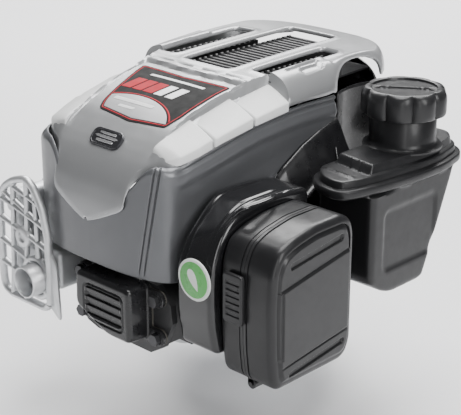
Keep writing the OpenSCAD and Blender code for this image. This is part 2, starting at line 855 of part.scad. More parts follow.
module hood_badge() {
    color("silver") translate([0, -188.5, 221.8]) rotate([50, 0, 0]) linear_extrude(2)
        round_rect(-18, -8, 18, 8, 7.9);
}

// ---- starter ----

module starter_pulley() {
    color("ivory") difference() {
        union() {
            translate([0, 0, 224]) cylinder(r = pulley_r, h = 3);
            translate([0, 0, 226]) cylinder(r = pulley_r - 12, h = 12);
            translate([0, 0, 237]) cylinder(r = pulley_r, h = 3);
            translate([0, 0, 214]) cylinder(r = 12, h = 12);
            for (s = [-1, 1]) translate([s * 18 - 5, -7, 217]) cube([10, 14, 8]);
        }
        translate([0, 0, 200]) cylinder(r = 6 + run_gap, h = 60);
        translate([0, 0, 230]) ring(30, 8, 0, 20);
    }
}

module recoil_spring() {
    coils = 5;
    color("steelblue") translate([0, 0, 231]) for (i = [1:coils]) ring(9 + 3.6 * i, 8.2 + 3.6 * i, 0, 8);
    color("steelblue") translate([9.5, -0.6, 231]) cube([19, 1.2, 8]);
}

// ---- intake side ----

// Cowl outline in Y and Z
cowl_points = [[-193, 60], [-199, 90], [-198.5, 138], [-193, 157], [-182, 174], [-166, 183], [-146, 186.5],
    [-112, 186.5], [-78, 183], [-78, 60]];
cowl_inner = [[-190, 50], [-196, 90], [-195.5, 138], [-190, 156], [-179.5, 171.5], [-165, 180], [-145, 183.5],
    [-112, 183.5], [-70, 180], [-70, 50]];

module carburetor_cowl() {
    color("black") difference() {
        side_prism(cowl_points, 92, 134);
        side_prism(cowl_inner, 94, 131);
        side_prism([for (p = cowl_inner) [p[0], p[1] - 22]], 90, 95);
        rod_x(port_y, in_z, 17, 120, 140);
    }
}

module cowl_badge() {
    color("limegreen") rod_y(112, 125, 18.5, -200.4, -199.1);
}

// Air cleaner outline in Y and Z
af_points = [[-180, 44], [-186, 52], [-189, 77], [-190, 121], [-188, 150], [-180, 166], [-164, 173],
    [-136, 178], [-101, 178], [-90, 172], [-86, 160], [-86, 60], [-92, 48], [-100, 44]];
af_centre = [-138, 110];

// The air cleaner outline drawn in towards its centre by the wall thickness
function af_inset(t) = [for (p = af_points) let (d = p - af_centre) p - [t * sign(d[0]), t * sign(d[1])]];

module air_cleaner_base() {
    color("black") difference() {
        union() {
            side_prism(af_points, base_x, part_x);
            for (y = [-176, -112]) hinge_knuckle(y, 12);
        }
        side_prism(af_inset(af_wall), base_x + af_wall, part_x + 1);
        rod_x(port_y, in_z, 12, base_x - 1, part_x);
        rod_y(hinge_x, hinge_z, 2 + 0.02, -200, -80);
        translate([latch_x, latch_y, 108.7]) cylinder(r = 4.4, h = 22.6);
    }
    color("silver") rod_y(hinge_x, hinge_z, 2, -176, -100);
    color("black") translate([latch_x, latch_y, 104]) cylinder(r = 2, h = 32);
    color("black") for (z = [104, 132]) translate([latch_x - 2, latch_y, z]) cube([4, -189 - latch_y, 4]);
}

// Hinge barrel of the cover's hinge, starting at y
module hinge_knuckle(y, length) {
    rod_y(hinge_x, hinge_z, 4.5, y, y + length);
    block([hinge_x - 4.5, y, hinge_z], [hinge_x + 1.5, y + length, 46]);
}

module air_cleaner_cover() {
    cover_x = part_x + gap;
    color("black") difference() {
        union() {
            side_prism(af_points, cover_x, face_x - 9);
            side_prism(af_inset(4), face_x - 10, face_x);
            for (y = [-163, -126]) {
                rod_y(hinge_x, hinge_z, 4.5, y, y + 13);
                block([hinge_x + 2.3, y, hinge_z], [hinge_x + 8, y + 13, 46]);
            }
        }
        side_prism(af_inset(af_wall), cover_x - 1, face_x - 10);
        side_prism(af_inset(7), cover_x, face_x - 3);
        rod_y(hinge_x, hinge_z, 2 + run_gap, -200, -80);
    }
}

module air_filter() {
    color("orange") difference() {
        block([139, -172, 58], [172, -98, 160]);
        for (y = [-167:8:-104]) block([150, y, 62], [173, y + 4, 156]);
    }
}

module air_cleaner_latch() {
    color("black") difference() {
        union() {
            translate([latch_x, latch_y, 109]) cylinder(r = 4, h = 22);
            block([latch_x, latch_y - 2, 98], [163, latch_y + 1, 142]);
        }
        translate([latch_x, latch_y, 100]) cylinder(r = 2 + run_gap, h = 40);
        for (z = [97, 131]) block([latch_x - 6, latch_y - 5, z], [latch_x + 5, latch_y + 5, z + 12]);
    }
}

module intake_elbow() {
    color("black") difference() {
        union() {
            rod_x(port_y, in_z, 16, 76.3, 91);
            rod_x(port_y, in_z, 17.5, 86, 91);
        }
        rod_x(port_y, in_z, 10, 70, 95);
    }
}

module carburetor() {
    color("silver") difference() {
        union() {
            rod_x(port_y, in_z, 16, carb_x0, carb_x1);
            block([carb_x0, port_y - 20, in_z - 20], [carb_x0 + 5, port_y + 20, in_z + 20]);
            translate([110, port_y, 66]) cylinder(r = 15, h = 15);
            translate([110, port_y, 50]) cylinder(r = 17, h = 17);
            for (x = [throttle_x, choke_x]) translate([x, port_y, in_z]) cylinder(r = 4.5, h = 18);
            rod_y(110, 62, 4, port_y + 10, port_y + 30);
        }
        rod_x(port_y, in_z, 8.8, carb_x0 - 1, 110);
        rod_x(port_y, in_z, 10, 109, carb_x1 + 1);
        for (x = [throttle_x, choke_x]) translate([x, port_y, in_z - 13]) cylinder(r = 2.5 + run_gap, h = 40);
    }
}

// Shaft, butterfly plate and lever that turn together; angle turns the lever, plate_angle the plate
module butterfly(x, plate_r, plate_angle, angle, arm) {
    translate([x, port_y, 0]) {
        translate([0, 0, in_z - 12]) cylinder(r = 2.5, h = lever_z - in_z + 12);
        translate([0, 0, in_z]) rotate(plate_angle) rotate([0, 90, 0]) translate([0, 0, -0.6])
            cylinder(r = plate_r, h = 1.2);
        translate([0, 0, lever_z - 2]) rotate(angle) difference() {
            union() {
                cylinder(r = 5, h = 2);
                translate([0, -3, 0]) cube([arm, 6, 2]);
                translate([arm, 0]) cylinder(r = 3, h = 2);
            }
            translate([arm, 0, -1]) cylinder(r = 1.3, h = 4);
        }
    }
}

module throttle_shaft() {
    color("goldenrod") butterfly(throttle_x, 8.5, 0, rest_throttle_angle, throttle_arm);
}

module choke_shaft() {
    color("goldenrod") butterfly(choke_x, 9.7, 90, -90, 7);
}

module governor_lever() {
    color("lightgray") translate([gov_lever_x, gov_lever_y, 0]) {
        translate([0, 0, 62]) cylinder(r = 2.5, h = lever_z - 62);
        translate([0, 0, lever_z - 2]) rotate(rest_gov_angle) difference() {
            union() {
                cylinder(r = 5, h = 2);
                translate([0, -3, 0]) cube([gov_arm, 6, 2]);
                translate([gov_arm, 0]) cylinder(r = 3, h = 2);
                rotate(-40) translate([-2.5, 0, 0]) cube([5, 14, 2]);
            }
            translate([gov_arm, 0, -1]) cylinder(r = 1.2, h = 4);
        }
    }
}

module governor_link() {
    gx = gov_lever_x + gov_arm * cos(rest_gov_angle);
    gy = gov_lever_y + gov_arm * sin(rest_gov_angle);
    tx = throttle_x + throttle_arm * cos(rest_throttle_angle);
    ty = port_y + throttle_arm * sin(rest_throttle_angle);
    run = norm([gx - tx, gy - ty]);
    color("gainsboro") {
        translate([gx, gy, lever_z - 4]) cylinder(r = 1.1, h = 7);
        translate([tx, ty, lever_z + 0.5]) cylinder(r = 1.1, h = 2.5);
        translate([tx, ty, lever_z + 2]) rotate(atan2(gy - ty, gx - tx)) rotate([0, 90, 0])
            cylinder(r = 1.1, h = run);
    }
}

// ---- exhaust side ----

// Outline of the muffler's box in X and Z: the tall part stands beside the housing, the low part under it
module muffler_outline(inset) {
    corner = 12 - inset / 2;
    round_rect(-122 + inset, 62 + inset, -54 - inset, muffler_low_z - inset, corner);
    round_rect(-122 + inset, 62 + inset, muffler_side_x - inset, 152 - inset, 9 - inset);
}

module muffler() {
    color("silver") difference() {
        union() {
            front_plate(-206, -128) muffler_outline(0);
            front_plate(-209, -205) muffler_outline(6);
            rod_x(port_y, ex_z, 15, -60, -46.3);
            rod_x(port_y, ex_z, 20, -51.3, -46.3);
            rod_y(-75, 76, outlet_outer_r, -232, -204);
            block([-70, -180, 46], [-56, -150, 68]);
        }
        front_plate(-204, -130) muffler_outline(2);
        rod_x(port_y, ex_z, 10, -61, -46);
        rod_y(-75, 76, outlet_r, -233, -200);
    }
}

module muffler_guard() {
    bar = 5;
    color("gainsboro") difference() {
        union() {
            front_plate(-218, -213) difference() {
                polygon(guard_points(0));
                polygon(guard_points(7));
            }
            front_plate(-217, -213) intersection() {
                polygon(guard_points(2));
                union() {
                    for (i = [0:4]) translate([-134, 74 + 22 * i]) rotate(-12) square([90, bar]);
                    translate([-118, 44]) rotate(8) square([bar, 130]);
                    translate([-94, 44]) rotate(-8) square([bar, 130]);
                }
            }
            rod_y(-92, 112, 10, -219, -212);
            rod_y(-75, 76, 21, -217, -213);
            for (p = [[-112, 136], [-66, 92]]) rod_y(p[0], p[1], 4, -214, -209.1);
            front_prism([[-66, 60], [-44, 40], [-48, 96], [-60, 110]], -216, -213);
        }
        rod_y(-75, 76, 16, -230, -205);
    }
}

// Guard outline in X and Z, drawn in by t
function guard_points(t) = let (c = [-95, 108]) [for (p = [[-130, 60], [-126, 50], [-116, 46], [-62, 46],
    [-55, 54], [-54, 120], [-62, 150], [-74, 168], [-84, 174], [-104, 168], [-120, 158], [-130, 142]])
    let (d = p - c) p - t * d / norm(d)];

// ---- fuel system ----

// Side outline of the lower tank shell in Y and Z
tank_side = [[-50, 179], [-50, 93], [-38, 86], [-19, 76], [29, 78], [68, 167], [72, 179]];
tank_side_inner = [[-47, 182], [-47, 95], [-36, 89], [-18, 79], [27, 81], [65, 167], [69, 182]];
// Plan outline of the tank's rim
rim_plan = [[117.5, -56], [136, -75], [158, -80], [169, -76], [176, -60], [182, -30], [187, 20],
    [186, 50], [178, 84], [162, 98], [117.5, 98]];
rim_centre = [150, 10];

function plan_inset(t) = [for (p = rim_plan) let (d = p - rim_centre) p - t * d / norm(d)];

module fuel_tank() {
    color("black") difference() {
        union() {
            side_prism(tank_side, 117.5, 181);
            translate([0, 0, 178]) linear_extrude(7) polygon(rim_plan);
            translate([0, 0, 184]) linear_extrude(8) polygon(plan_inset(5));
            translate([0, 0, 184]) linear_extrude(16) difference() {
                polygon(plan_inset(7));
                translate([100, -100]) square([100, 62]);
            }
            translate([neck_x, neck_y, 198]) cylinder(r = neck_r, h = 29);
            translate([neck_x, neck_y, 226]) cylinder(r = 26, h = 17);
            rod_y(125, 84, 5, -58, -40);
        }
        side_prism(tank_side_inner, 120.5, 178);
        translate([0, 0, 180]) linear_extrude(9) polygon(plan_inset(9));
        translate([0, 0, 184]) linear_extrude(13) difference() {
            polygon(plan_inset(11));
            translate([100, -100]) square([100, 66]);
        }
        translate([neck_x, neck_y, 180]) cylinder(r = 22, h = 70);
        rod_y(125, 84, 2.5, -60, -40);
    }
}

module fuel_cap() {
    color("black") translate([neck_x, neck_y, 0]) difference() {
        union() {
            translate([0, 0, 228]) cylinder(r = cap_r - 4, h = 24);
            for (i = [0:cap_lobes - 1]) rotate(360 / cap_lobes * i)
                translate([cap_r - 9, 0, 229]) cylinder(r = 9, h = 22);
        }
        translate([0, 0, 227]) cylinder(r = 26 + gap, h = 19.5);
        translate([0, 0, 249.5]) ring(cap_r - 10, 0.01, 0, 3);
    }
    color("black") translate([neck_x, neck_y, 249]) rotate(35) translate([-22, -2, 0]) cube([44, 4, 2.5]);
}

module fuel_cap_seal() {
    color("dimgray") translate([neck_x, neck_y, 0]) ring(25.5, 18, 243.2, 246.2);
}

module fuel_line() {
    color("darkgreen") difference() {
        union() {
            rod_y(125, 84, 4, -76, -58.3);
            translate([125, -76, 62]) cylinder(r = 4, h = 26);
            translate([110, -112, 62]) rotate([0, 0, 67.4]) rotate([0, 90, 0]) cylinder(r = 4, h = 39);
        }
        rod_y(125, 84, 2.4, -77, -50);
    }
}

// Frame of the oil filler, leaning out from under the housing, with +Z towards its cap
module fill_axis() {
    translate([-fill_foot, fill_foot, fill_z]) rotate([0, 30, 135]) children();
}

module oil_fill_tube() {
    color("black") difference() {
        union() {
            translate([-fill_foot, fill_foot, flange_t + gap]) cylinder(r = 14, h = fill_z - flange_t);
            fill_axis() cylinder(r = 11, h = fill_len);
            fill_axis() sphere(r = 11);
        }
        translate([-fill_foot, fill_foot, flange_t + 2]) cylinder(r = fill_bore_r, h = fill_z - flange_t - 2);
        fill_axis() translate([0, 0, -2]) cylinder(r = fill_bore_r, h = fill_len + 3);
    }
}

module dipstick() {
    color("black") fill_axis() {
        translate([0, 0, fill_len + gap]) cylinder(r = 14, h = 9);
        translate([0, 0, fill_len - 12]) cylinder(r = fill_bore_r - gap, h = 13);
        translate([-4, -13, fill_len + 9]) cube([8, 26, 6]);
    }
    color("silver") fill_axis() translate([-2, -1.2, 4]) cube([4, 2.4, fill_len - 15]);
}

sump();
oil_seals();
cylinder_block();
crankshaft();
crank_gear();
rod_big_end();
connecting_rod();
wrist_pin();
piston();
piston_rings();
camshaft();
governor_gear();
tappets();
push_rods();
head_gasket();
cylinder_head();
valves();
valve_springs();
rocker_arms();
rocker_cover_gasket();
rocker_cover();
hex_bolts();
spark_plug();
spark_plug_boot();
flywheel();
flywheel_fan();
flywheel_nut();
starter_cup();
ignition_coil();
brake_lever();
back_plate();
blower_housing();
rear_shell();
hood();
side_pads();
intake_grille();
label_panel();
hood_badge();
starter_pulley();
recoil_spring();
carburetor_cowl();
cowl_badge();
air_cleaner_base();
air_cleaner_cover();
air_filter();
air_cleaner_latch();
intake_elbow();
carburetor();
throttle_shaft();
choke_shaft();
governor_lever();
governor_link();
muffler();
muffler_guard();
fuel_tank();
fuel_cap();
fuel_cap_seal();
fuel_line();
oil_fill_tube();
dipstick();
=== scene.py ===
import math
import bmesh
import bpy
import numpy as np
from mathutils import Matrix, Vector


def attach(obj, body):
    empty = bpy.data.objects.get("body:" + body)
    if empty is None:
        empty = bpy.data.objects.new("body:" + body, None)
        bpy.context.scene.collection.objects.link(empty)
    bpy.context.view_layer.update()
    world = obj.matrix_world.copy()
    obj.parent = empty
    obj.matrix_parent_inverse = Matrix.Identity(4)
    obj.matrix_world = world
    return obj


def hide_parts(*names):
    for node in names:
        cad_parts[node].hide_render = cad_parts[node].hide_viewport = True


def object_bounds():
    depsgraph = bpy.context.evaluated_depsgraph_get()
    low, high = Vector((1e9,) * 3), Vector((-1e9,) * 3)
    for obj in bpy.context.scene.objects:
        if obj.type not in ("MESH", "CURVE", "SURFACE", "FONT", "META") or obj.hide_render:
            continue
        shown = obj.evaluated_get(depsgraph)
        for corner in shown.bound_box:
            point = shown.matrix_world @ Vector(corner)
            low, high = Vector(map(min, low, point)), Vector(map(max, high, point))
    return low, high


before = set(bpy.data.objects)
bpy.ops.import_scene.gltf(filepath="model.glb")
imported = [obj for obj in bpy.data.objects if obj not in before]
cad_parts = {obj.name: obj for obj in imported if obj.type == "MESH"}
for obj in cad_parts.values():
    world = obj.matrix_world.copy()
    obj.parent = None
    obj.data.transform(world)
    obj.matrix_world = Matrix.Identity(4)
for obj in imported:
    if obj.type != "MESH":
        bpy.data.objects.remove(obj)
cad_box = [list(corner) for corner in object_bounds()]

# ---- studio ----
# A plain pale floor just under the output shaft's end, a pale surround and soft box lights.
# The long lens looks down on the cylinder head's corner of the engine.
MM = 0.001
floor_z = cad_box[0][2] - 0.5 * MM
view_azimuth, view_elevation = math.radians(44.0), math.radians(21.0)
view_target = Vector((0.0, -0.038, 0.116))
view_distance = 1.298
to_camera = Vector((math.sin(view_azimuth) * math.cos(view_elevation),
                    -math.cos(view_azimuth) * math.cos(view_elevation), math.sin(view_elevation)))


def aim(thing, place, target):
    """Put an object at place with its -Z axis towards target and its Y axis up."""
    thing.location = place
    thing.rotation_euler = (Vector(target) - Vector(place)).to_track_quat("-Z", "Y").to_euler()


def add_to_scene(thing):
    bpy.context.scene.collection.objects.link(thing)
    return thing


camera_data = bpy.data.cameras.new("studio_camera")
camera_data.sensor_width = 36.0
camera_data.lens = 105.4
camera_data.clip_end = 20.0
camera = add_to_scene(bpy.data.objects.new("studio_camera", camera_data))
aim(camera, view_target + view_distance * to_camera, view_target)
bpy.context.scene.camera = camera

world = bpy.data.worlds.new("pale_surround")
world.use_nodes = True
surround = world.node_tree.nodes["Background"]
surround.inputs["Color"].default_value = (0.93, 0.94, 0.96, 1.0)
surround.inputs["Strength"].default_value = 0.16
bpy.context.scene.world = world


def soft_box(name, place, width, height, power, target=(0.0, -0.05, 0.12)):
    """Rectangular area light aimed at the engine."""
    data = bpy.data.lights.new(name, "AREA")
    data.shape = "RECTANGLE"
    data.size, data.size_y, data.energy = width, height, power
    aim(add_to_scene(bpy.data.objects.new(name, data)), place, target)


soft_box("top_box", (0.10, 0.05, 1.40), 0.8, 0.8, 24.0)
soft_box("right_box", (1.35, -0.25, 0.75), 0.45, 0.9, 12.0)
soft_box("front_strip", (1.15, -0.95, 0.40), 0.2, 1.0, 3.5)
soft_box("back_box", (-1.2, 0.8, 0.9), 0.8, 0.8, 4.0)
soft_box("floor_wash", (-1.6, 1.9, 2.4), 2.5, 2.5, 230.0, (-1.9, 2.3, 0.0))

floor_data = bpy.data.meshes.new("studio_floor")
reach = 4.0
floor_data.from_pydata([(-reach, -reach, floor_z), (reach, -reach, floor_z), (reach, reach, floor_z),
                        (-reach, reach, floor_z)], [], [(0, 1, 2, 3)])
floor = add_to_scene(bpy.data.objects.new("studio_floor", floor_data))
floor_paint = bpy.data.materials.new("pale_floor")
floor_paint.use_nodes = True
floor_shader = floor_paint.node_tree.nodes["Principled BSDF"]
floor_shader.inputs["Base Color"].default_value = (0.93, 0.93, 0.94, 1.0)
floor_shader.inputs["Roughness"].default_value = 0.75
floor_data.materials.append(floor_paint)

# ---- castings, crank train and valve gear ----
# Crankcase, cylinder and head are die cast aluminium. The shafts and gears are turned or sintered
# steel and the seals are rubber. These pieces keep their shapes and get their finishes here.


def finish(name, colour, metal, rough, grain, depth, drift=0.08, scatter=0.06, coat=0.0, wear=0.0):
    """Procedural finish. A broad noise drifts the colour by drift, a medium one scatters the
    roughness by scatter, and a fine one of grain millimetres gives bumps of depth millimetres.
    wear brightens convex edges."""
    paint = bpy.data.materials.new(name)
    paint.use_nodes = True
    nodes, links = paint.node_tree.nodes, paint.node_tree.links
    shader = nodes["Principled BSDF"]
    shader.inputs["Metallic"].default_value = metal
    shader.inputs["Specular IOR Level"].default_value = 0.35
    shader.inputs["Coat Weight"].default_value = coat
    shader.inputs["Coat Roughness"].default_value = 0.12
    place = nodes.new("ShaderNodeTexCoord").outputs["Object"]

    def noise(scale, detail):
        node = nodes.new("ShaderNodeTexNoise")
        node.inputs["Scale"].default_value = scale
        node.inputs["Detail"].default_value = detail
        links.new(place, node.inputs["Vector"])
        return node.outputs["Fac"]

    def remap(value, low, high, from_low=0.3, from_high=0.7):
        node = nodes.new("ShaderNodeMapRange")
        node.inputs["From Min"].default_value, node.inputs["From Max"].default_value = from_low, from_high
        node.inputs["To Min"].default_value, node.inputs["To Max"].default_value = low, high
        links.new(value, node.inputs["Value"])
        return node.outputs["Result"]

    def mix(factor, first, second):
        node = nodes.new("ShaderNodeMix")
        node.data_type = "RGBA"
        links.new(factor, node.inputs["Factor"])
        for socket, value in ((node.inputs["A"], first), (node.inputs["B"], second)):
            if isinstance(value, tuple):
                socket.default_value = (*value, 1.0)
            else:
                links.new(value, socket)
        return node.outputs["Result"]

    shade = mix(remap(noise(26.0, 3.0), 0.0, 1.0), tuple(c * (1 - drift) for c in colour),
                tuple(min(1.0, c * (1 + drift)) for c in colour))
    if wear:
        geometry = nodes.new("ShaderNodeNewGeometry")
        bright = tuple(min(1.0, c * 1.5 + 0.08) for c in colour)
        shade = mix(remap(geometry.outputs["Pointiness"], 0.0, wear, 0.51, 0.60), shade, bright)
    links.new(shade, shader.inputs["Base Color"])
    links.new(remap(noise(120.0, 4.0), rough - scatter, rough + scatter), shader.inputs["Roughness"])
    bump = nodes.new("ShaderNodeBump")
    bump.inputs["Strength"].default_value = 0.5
    bump.inputs["Distance"].default_value = depth * MM
    links.new(noise(1000.0 / grain, 2.0), bump.inputs["Height"])
    links.new(bump.outputs["Normal"], shader.inputs["Normal"])
    return paint


def paint_nodes(paint, *names):
    """Give CAD pieces that keep their shapes a procedural finish."""
    for name in names:
        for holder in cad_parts[name].material_slots:
            holder.material = paint


paint_nodes(finish("cast_aluminium", (0.55, 0.56, 0.57), 0.9, 0.5, 0.7, 0.12, wear=0.3),
            "sump", "flywheel", "carburetor", "connecting_rod", "rod_big_end")
paint_nodes(finish("black_enamel", (0.012, 0.012, 0.013), 0.0, 0.42, 0.6, 0.06, coat=0.1, wear=0.15),
            "cylinder_block", "cylinder_head")
paint_nodes(finish("turned_steel", (0.52, 0.53, 0.55), 1.0, 0.26, 0.25, 0.02, drift=0.05),
            "crankshaft", "wrist_pin", "valves", "push_rods", "tappets")
paint_nodes(finish("sintered_steel", (0.22, 0.225, 0.235), 0.9, 0.48, 0.4, 0.06),
            "crank_gear", "camshaft", "rocker_arms", "piston_rings")
paint_nodes(finish("plated_steel", (0.66, 0.67, 0.66), 1.0, 0.24, 0.5, 0.02, drift=0.06, wear=0.3),
            "flywheel_nut", "starter_cup", "brake_lever", "governor_lever", "governor_link")
paint_nodes(finish("black_oxide", (0.045, 0.045, 0.048), 0.8, 0.38, 0.4, 0.03, wear=0.2), "hex_bolts")
paint_nodes(finish("piston_alloy", (0.60, 0.60, 0.59), 0.95, 0.3, 0.3, 0.03), "piston")
paint_nodes(finish("seal_rubber", (0.018, 0.018, 0.019), 0.0, 0.7, 0.8, 0.05), "oil_seals", "spark_plug_boot",
            "fuel_cap_seal")
paint_nodes(finish("gasket_fibre", (0.09, 0.085, 0.075), 0.0, 0.85, 0.6, 0.08), "head_gasket",
            "rocker_cover_gasket")
paint_nodes(finish("white_nylon", (0.68, 0.66, 0.58), 0.0, 0.42, 0.9, 0.03), "governor_gear",
            "starter_pulley")
paint_nodes(finish("plug_ceramic", (0.78, 0.78, 0.76), 0.0, 0.18, 1.5, 0.01), "spark_plug")
paint_nodes(finish("spring_steel", (0.30, 0.32, 0.36), 1.0, 0.3, 0.4, 0.02), "valve_springs", "recoil_spring")
paint_nodes(finish("coil_potting", (0.03, 0.03, 0.032), 0.1, 0.55, 0.5, 0.08), "ignition_coil",
            "flywheel_fan", "back_plate", "intake_elbow", "oil_fill_tube", "dipstick")
paint_nodes(finish("filter_paper", (0.72, 0.42, 0.12), 0.0, 0.85, 0.5, 0.15), "air_filter")
paint_nodes(finish("brass", (0.70, 0.50, 0.22), 1.0, 0.3, 0.4, 0.02), "throttle_shaft", "choke_shaft")
paint_nodes(finish("fuel_hose", (0.05, 0.09, 0.06), 0.0, 0.5, 0.8, 0.04), "fuel_line")

# ---- rocker cover ----
# Black moulded box over the valve gear, bolted to the head through four ears. Its front is pillowed,
# its lower left corner is cut off, and plain ribs stiffen the face.


def round_corners(points, reach):
    """Closed outline whose corners are quadratic curves that leave each side reach before the corner."""
    p = np.asarray(points, float)
    before, after = np.roll(p, 1, axis=0) - p, np.roll(p, -1, axis=0) - p
    long_b, long_a = (np.linalg.norm(v, axis=1)[:, None] for v in (before, after))
    r = np.minimum(reach, 0.49 * np.minimum(long_b, long_a))
    start, end = p + before / long_b * r, p + after / long_a * r
    t = np.linspace(0, 1, 9)[None, :, None]
    curve = (1 - t)**2 * start[:, None] + 2 * t * (1 - t) * p[:, None] + t**2 * end[:, None]
    return curve.reshape(-1, p.shape[1])


def polar_ring(points, centre, count=240):
    """Closed outline resampled at equal angles about centre: the farthest crossing of each ray."""
    p = np.asarray(points, float) - centre
    e = np.roll(p, -1, axis=0) - p
    angle = np.arange(count) * 2 * math.pi / count
    d = np.stack([np.cos(angle), np.sin(angle)], axis=1)
    across = d[:, None, 0] * e[None, :, 1] - d[:, None, 1] * e[None, :, 0]
    across = np.where(np.abs(across) < 1e-9, 1e-9, across)
    run = (p[None, :, 0] * e[None, :, 1] - p[None, :, 1] * e[None, :, 0]) / across
    part = (p[None, :, 0] * d[:, None, 1] - p[None, :, 1] * d[:, None, 0]) / across
    run = np.where((part > -1e-6) & (part < 1 + 1e-6) & (run > 0), run, 0)
    return centre + d * run.max(axis=1)[:, None]


def right_of(run):
    """Unit vectors a quarter turn to the right of plan directions."""
    return np.stack([run[:, 1], -run[:, 0]], axis=1) / np.linalg.norm(run, axis=1)[:, None]


def inset_ring(ring, amount):
    """Outline moved inwards by amount along its normals."""
    n = right_of(np.roll(ring, -1, axis=0) - np.roll(ring, 1, axis=0))
    area = np.sum(ring[:, 0] * np.roll(ring[:, 1], -1) - np.roll(ring[:, 0], -1) * ring[:, 1])
    return ring - n * amount * np.sign(area)


def ramp(t):
    """Smooth step from 0 to 1 as t goes from 0 to 1."""
    t = np.clip(t, 0, 1)
    return t * t * (3 - 2 * t)


def rolled(distance, radius):
    """Drop of a rounded edge: a quarter circle of that radius, 0 from the radius inwards."""
    t = np.clip(1 - distance / radius, 0, 1)
    return radius * (1 - np.sqrt(np.maximum(1 - t * t, 0)))


def groove(distance, half, depth):
    """Round-bottomed groove along the line where distance is 0."""
    return -depth * ramp(1 - np.abs(distance) / half)


def put_mesh(name, points, faces, sharp=38.0, toward=None):
    """Object from points in millimetres and faces as index arrays. A closed form has its normals
    turned outwards, and an open sheet is turned so that its mean normal points toward."""
    data = bpy.data.meshes.new(name)
    data.from_pydata((np.asarray(points, float) * MM).tolist(), [], [list(map(int, f)) for f in faces])
    work = bmesh.new()
    work.from_mesh(data)
    bmesh.ops.remove_doubles(work, verts=work.verts, dist=1e-6)
    bmesh.ops.dissolve_degenerate(work, edges=work.edges, dist=1e-7)
    bmesh.ops.recalc_face_normals(work, faces=work.faces)
    if toward is not None:
        mean = sum((f.normal * f.calc_area() for f in work.faces), Vector())
        if mean.dot(Vector(toward)) < 0:
            bmesh.ops.reverse_faces(work, faces=work.faces)
    work.to_mesh(data)
    work.free()
    data.polygons.foreach_set("use_smooth", np.ones(len(data.polygons), bool))
    data.set_sharp_from_angle(angle=math.radians(sharp))
    return add_to_scene(bpy.data.objects.new(name, data))


def grid_faces(rows, columns, wrap=False):
    """Quads of a grid of points, row by row. wrap joins each row's last column to its first."""
    i, j = np.meshgrid(np.arange(rows - 1), np.arange(columns if wrap else columns - 1), indexing="ij")
    k = (j + 1) % columns
    quads = np.stack([i * columns + j, i * columns + k, (i + 1) * columns + k, (i + 1) * columns + j], -1)
    return quads.reshape(-1, 4)


def loft(name, rings, sharp=38.0):
    """Closed form through rings of equal point counts. An end ring with any width is closed by a
    fan to its mean point."""
    rings = np.asarray(rings, float)
    rows, columns = rings.shape[:2]
    points, faces = rings.reshape(-1, 3), list(grid_faces(rows, columns, wrap=True))
    for start in (0, (rows - 1) * columns):
        points = np.vstack([points, points[start:start + columns].mean(axis=0)])
        faces += [(start + j, start + (j + 1) % columns, len(points) - 1) for j in range(columns)]
    return put_mesh(name, points, faces, sharp)


def at_height(ring, z):
    """Ring of X and Y places at one height."""
    return np.column_stack([ring, np.full(len(ring), z)])


def levels(ring, steps):
    """Rings from one flat outline: each step is (height, inset, scale about the middle)."""
    middle = ring.mean(axis=0)
    flat = [middle + (inset_ring(ring, inset) - middle) * scale for _, inset, scale in steps]
    return np.stack([at_height(r, s[0]) for r, s in zip(flat, steps)])


def edge_steps(height, radius, way=1.0, inset=0.0, count=7):
    """Steps of a rounded edge that ends at that height, inset by the radius."""
    a = np.linspace(0, math.pi / 2, count)
    return [(height - way * radius * (1 - math.sin(t)), inset + radius * (1 - math.cos(t)), 1.0) for t in a]


def face_steps(height, inset, count):
    """Steps across a flat face from its border to its middle."""
    return [(height, inset, k) for k in np.linspace(1, 0, count)[1:]]


def box_distance(x, y, low, high, corner=0.01):
    """Signed distance to a rectangle with round corners, negative inside."""
    dx = np.abs(x - (low[0] + high[0]) / 2) - (high[0] - low[0]) / 2 + corner
    dy = np.abs(y - (low[1] + high[1]) / 2) - (high[1] - low[1]) / 2 + corner
    return np.hypot(np.maximum(dx, 0), np.maximum(dy, 0)) + np.minimum(np.maximum(dx, dy), 0) - corner


def merge(name, parts, sharp=38.0):
    """One object from several closed point grids, each given as rings."""
    points, faces, start = [], [], 0
    for rings in parts:
        rings = np.asarray(rings, float)
        rows, columns = rings.shape[:2]
        faces += list(grid_faces(rows, columns, wrap=True) + start)
        for edge in (0, (rows - 1) * columns):
            faces += [(start + edge + j, start + edge + (j + 1) % columns,
                       start + rows * columns + (edge > 0)) for j in range(columns)]
        points += [rings.reshape(-1, 3), rings[0].mean(axis=0)[None], rings[-1].mean(axis=0)[None]]
        start += rows * columns + 2
    return put_mesh(name, np.vstack(points), faces, sharp)


def dress(piece, paint, body, slot, *nodes):
    """Give a finished piece its material and its body, and hide the CAD nodes that it stands for. The slot
    argument is not used.
    """
    piece.data.materials.clear()
    piece.data.materials.append(paint)
    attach(piece, body)
    if nodes:
        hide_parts(*nodes)
    return piece


rocker_edge = [(-14.5, 72), (-13, 109), (61.5, 109), (61.5, 53.5), (27, 53.5)]
rocker_ring = polar_ring(round_corners(rocker_edge, 9.0), (26.0, 81.0), 400)
rocker_steps = [(-199.0, 3.0, 1.0), (-199.0, 0.6, 1.0), (-199.6, 0.0, 1.0), (-203.0, 0.0, 1.0),
                (-203.5, 0.8, 1.0), (-204.0, 1.4, 1.0), (-212.0, 1.8, 1.0), (-216.0, 2.2, 1.0)]
rocker_steps += [(h, i + 1.2, s) for h, i, s in edge_steps(-224.0, 4.5, -1.0, 1.0, 10)]
rocker_steps += face_steps(-224.0, 6.7, 80)
rocker_rings = levels(rocker_ring, rocker_steps)[:, :, [0, 2, 1]]
rx, rz = rocker_rings[..., 0], rocker_rings[..., 2]
on_face = rocker_rings[..., 1] < -223.5
rib_field = box_distance(rx, rz, (2.0, 66.0), (50.0, 97.0), 5.0)
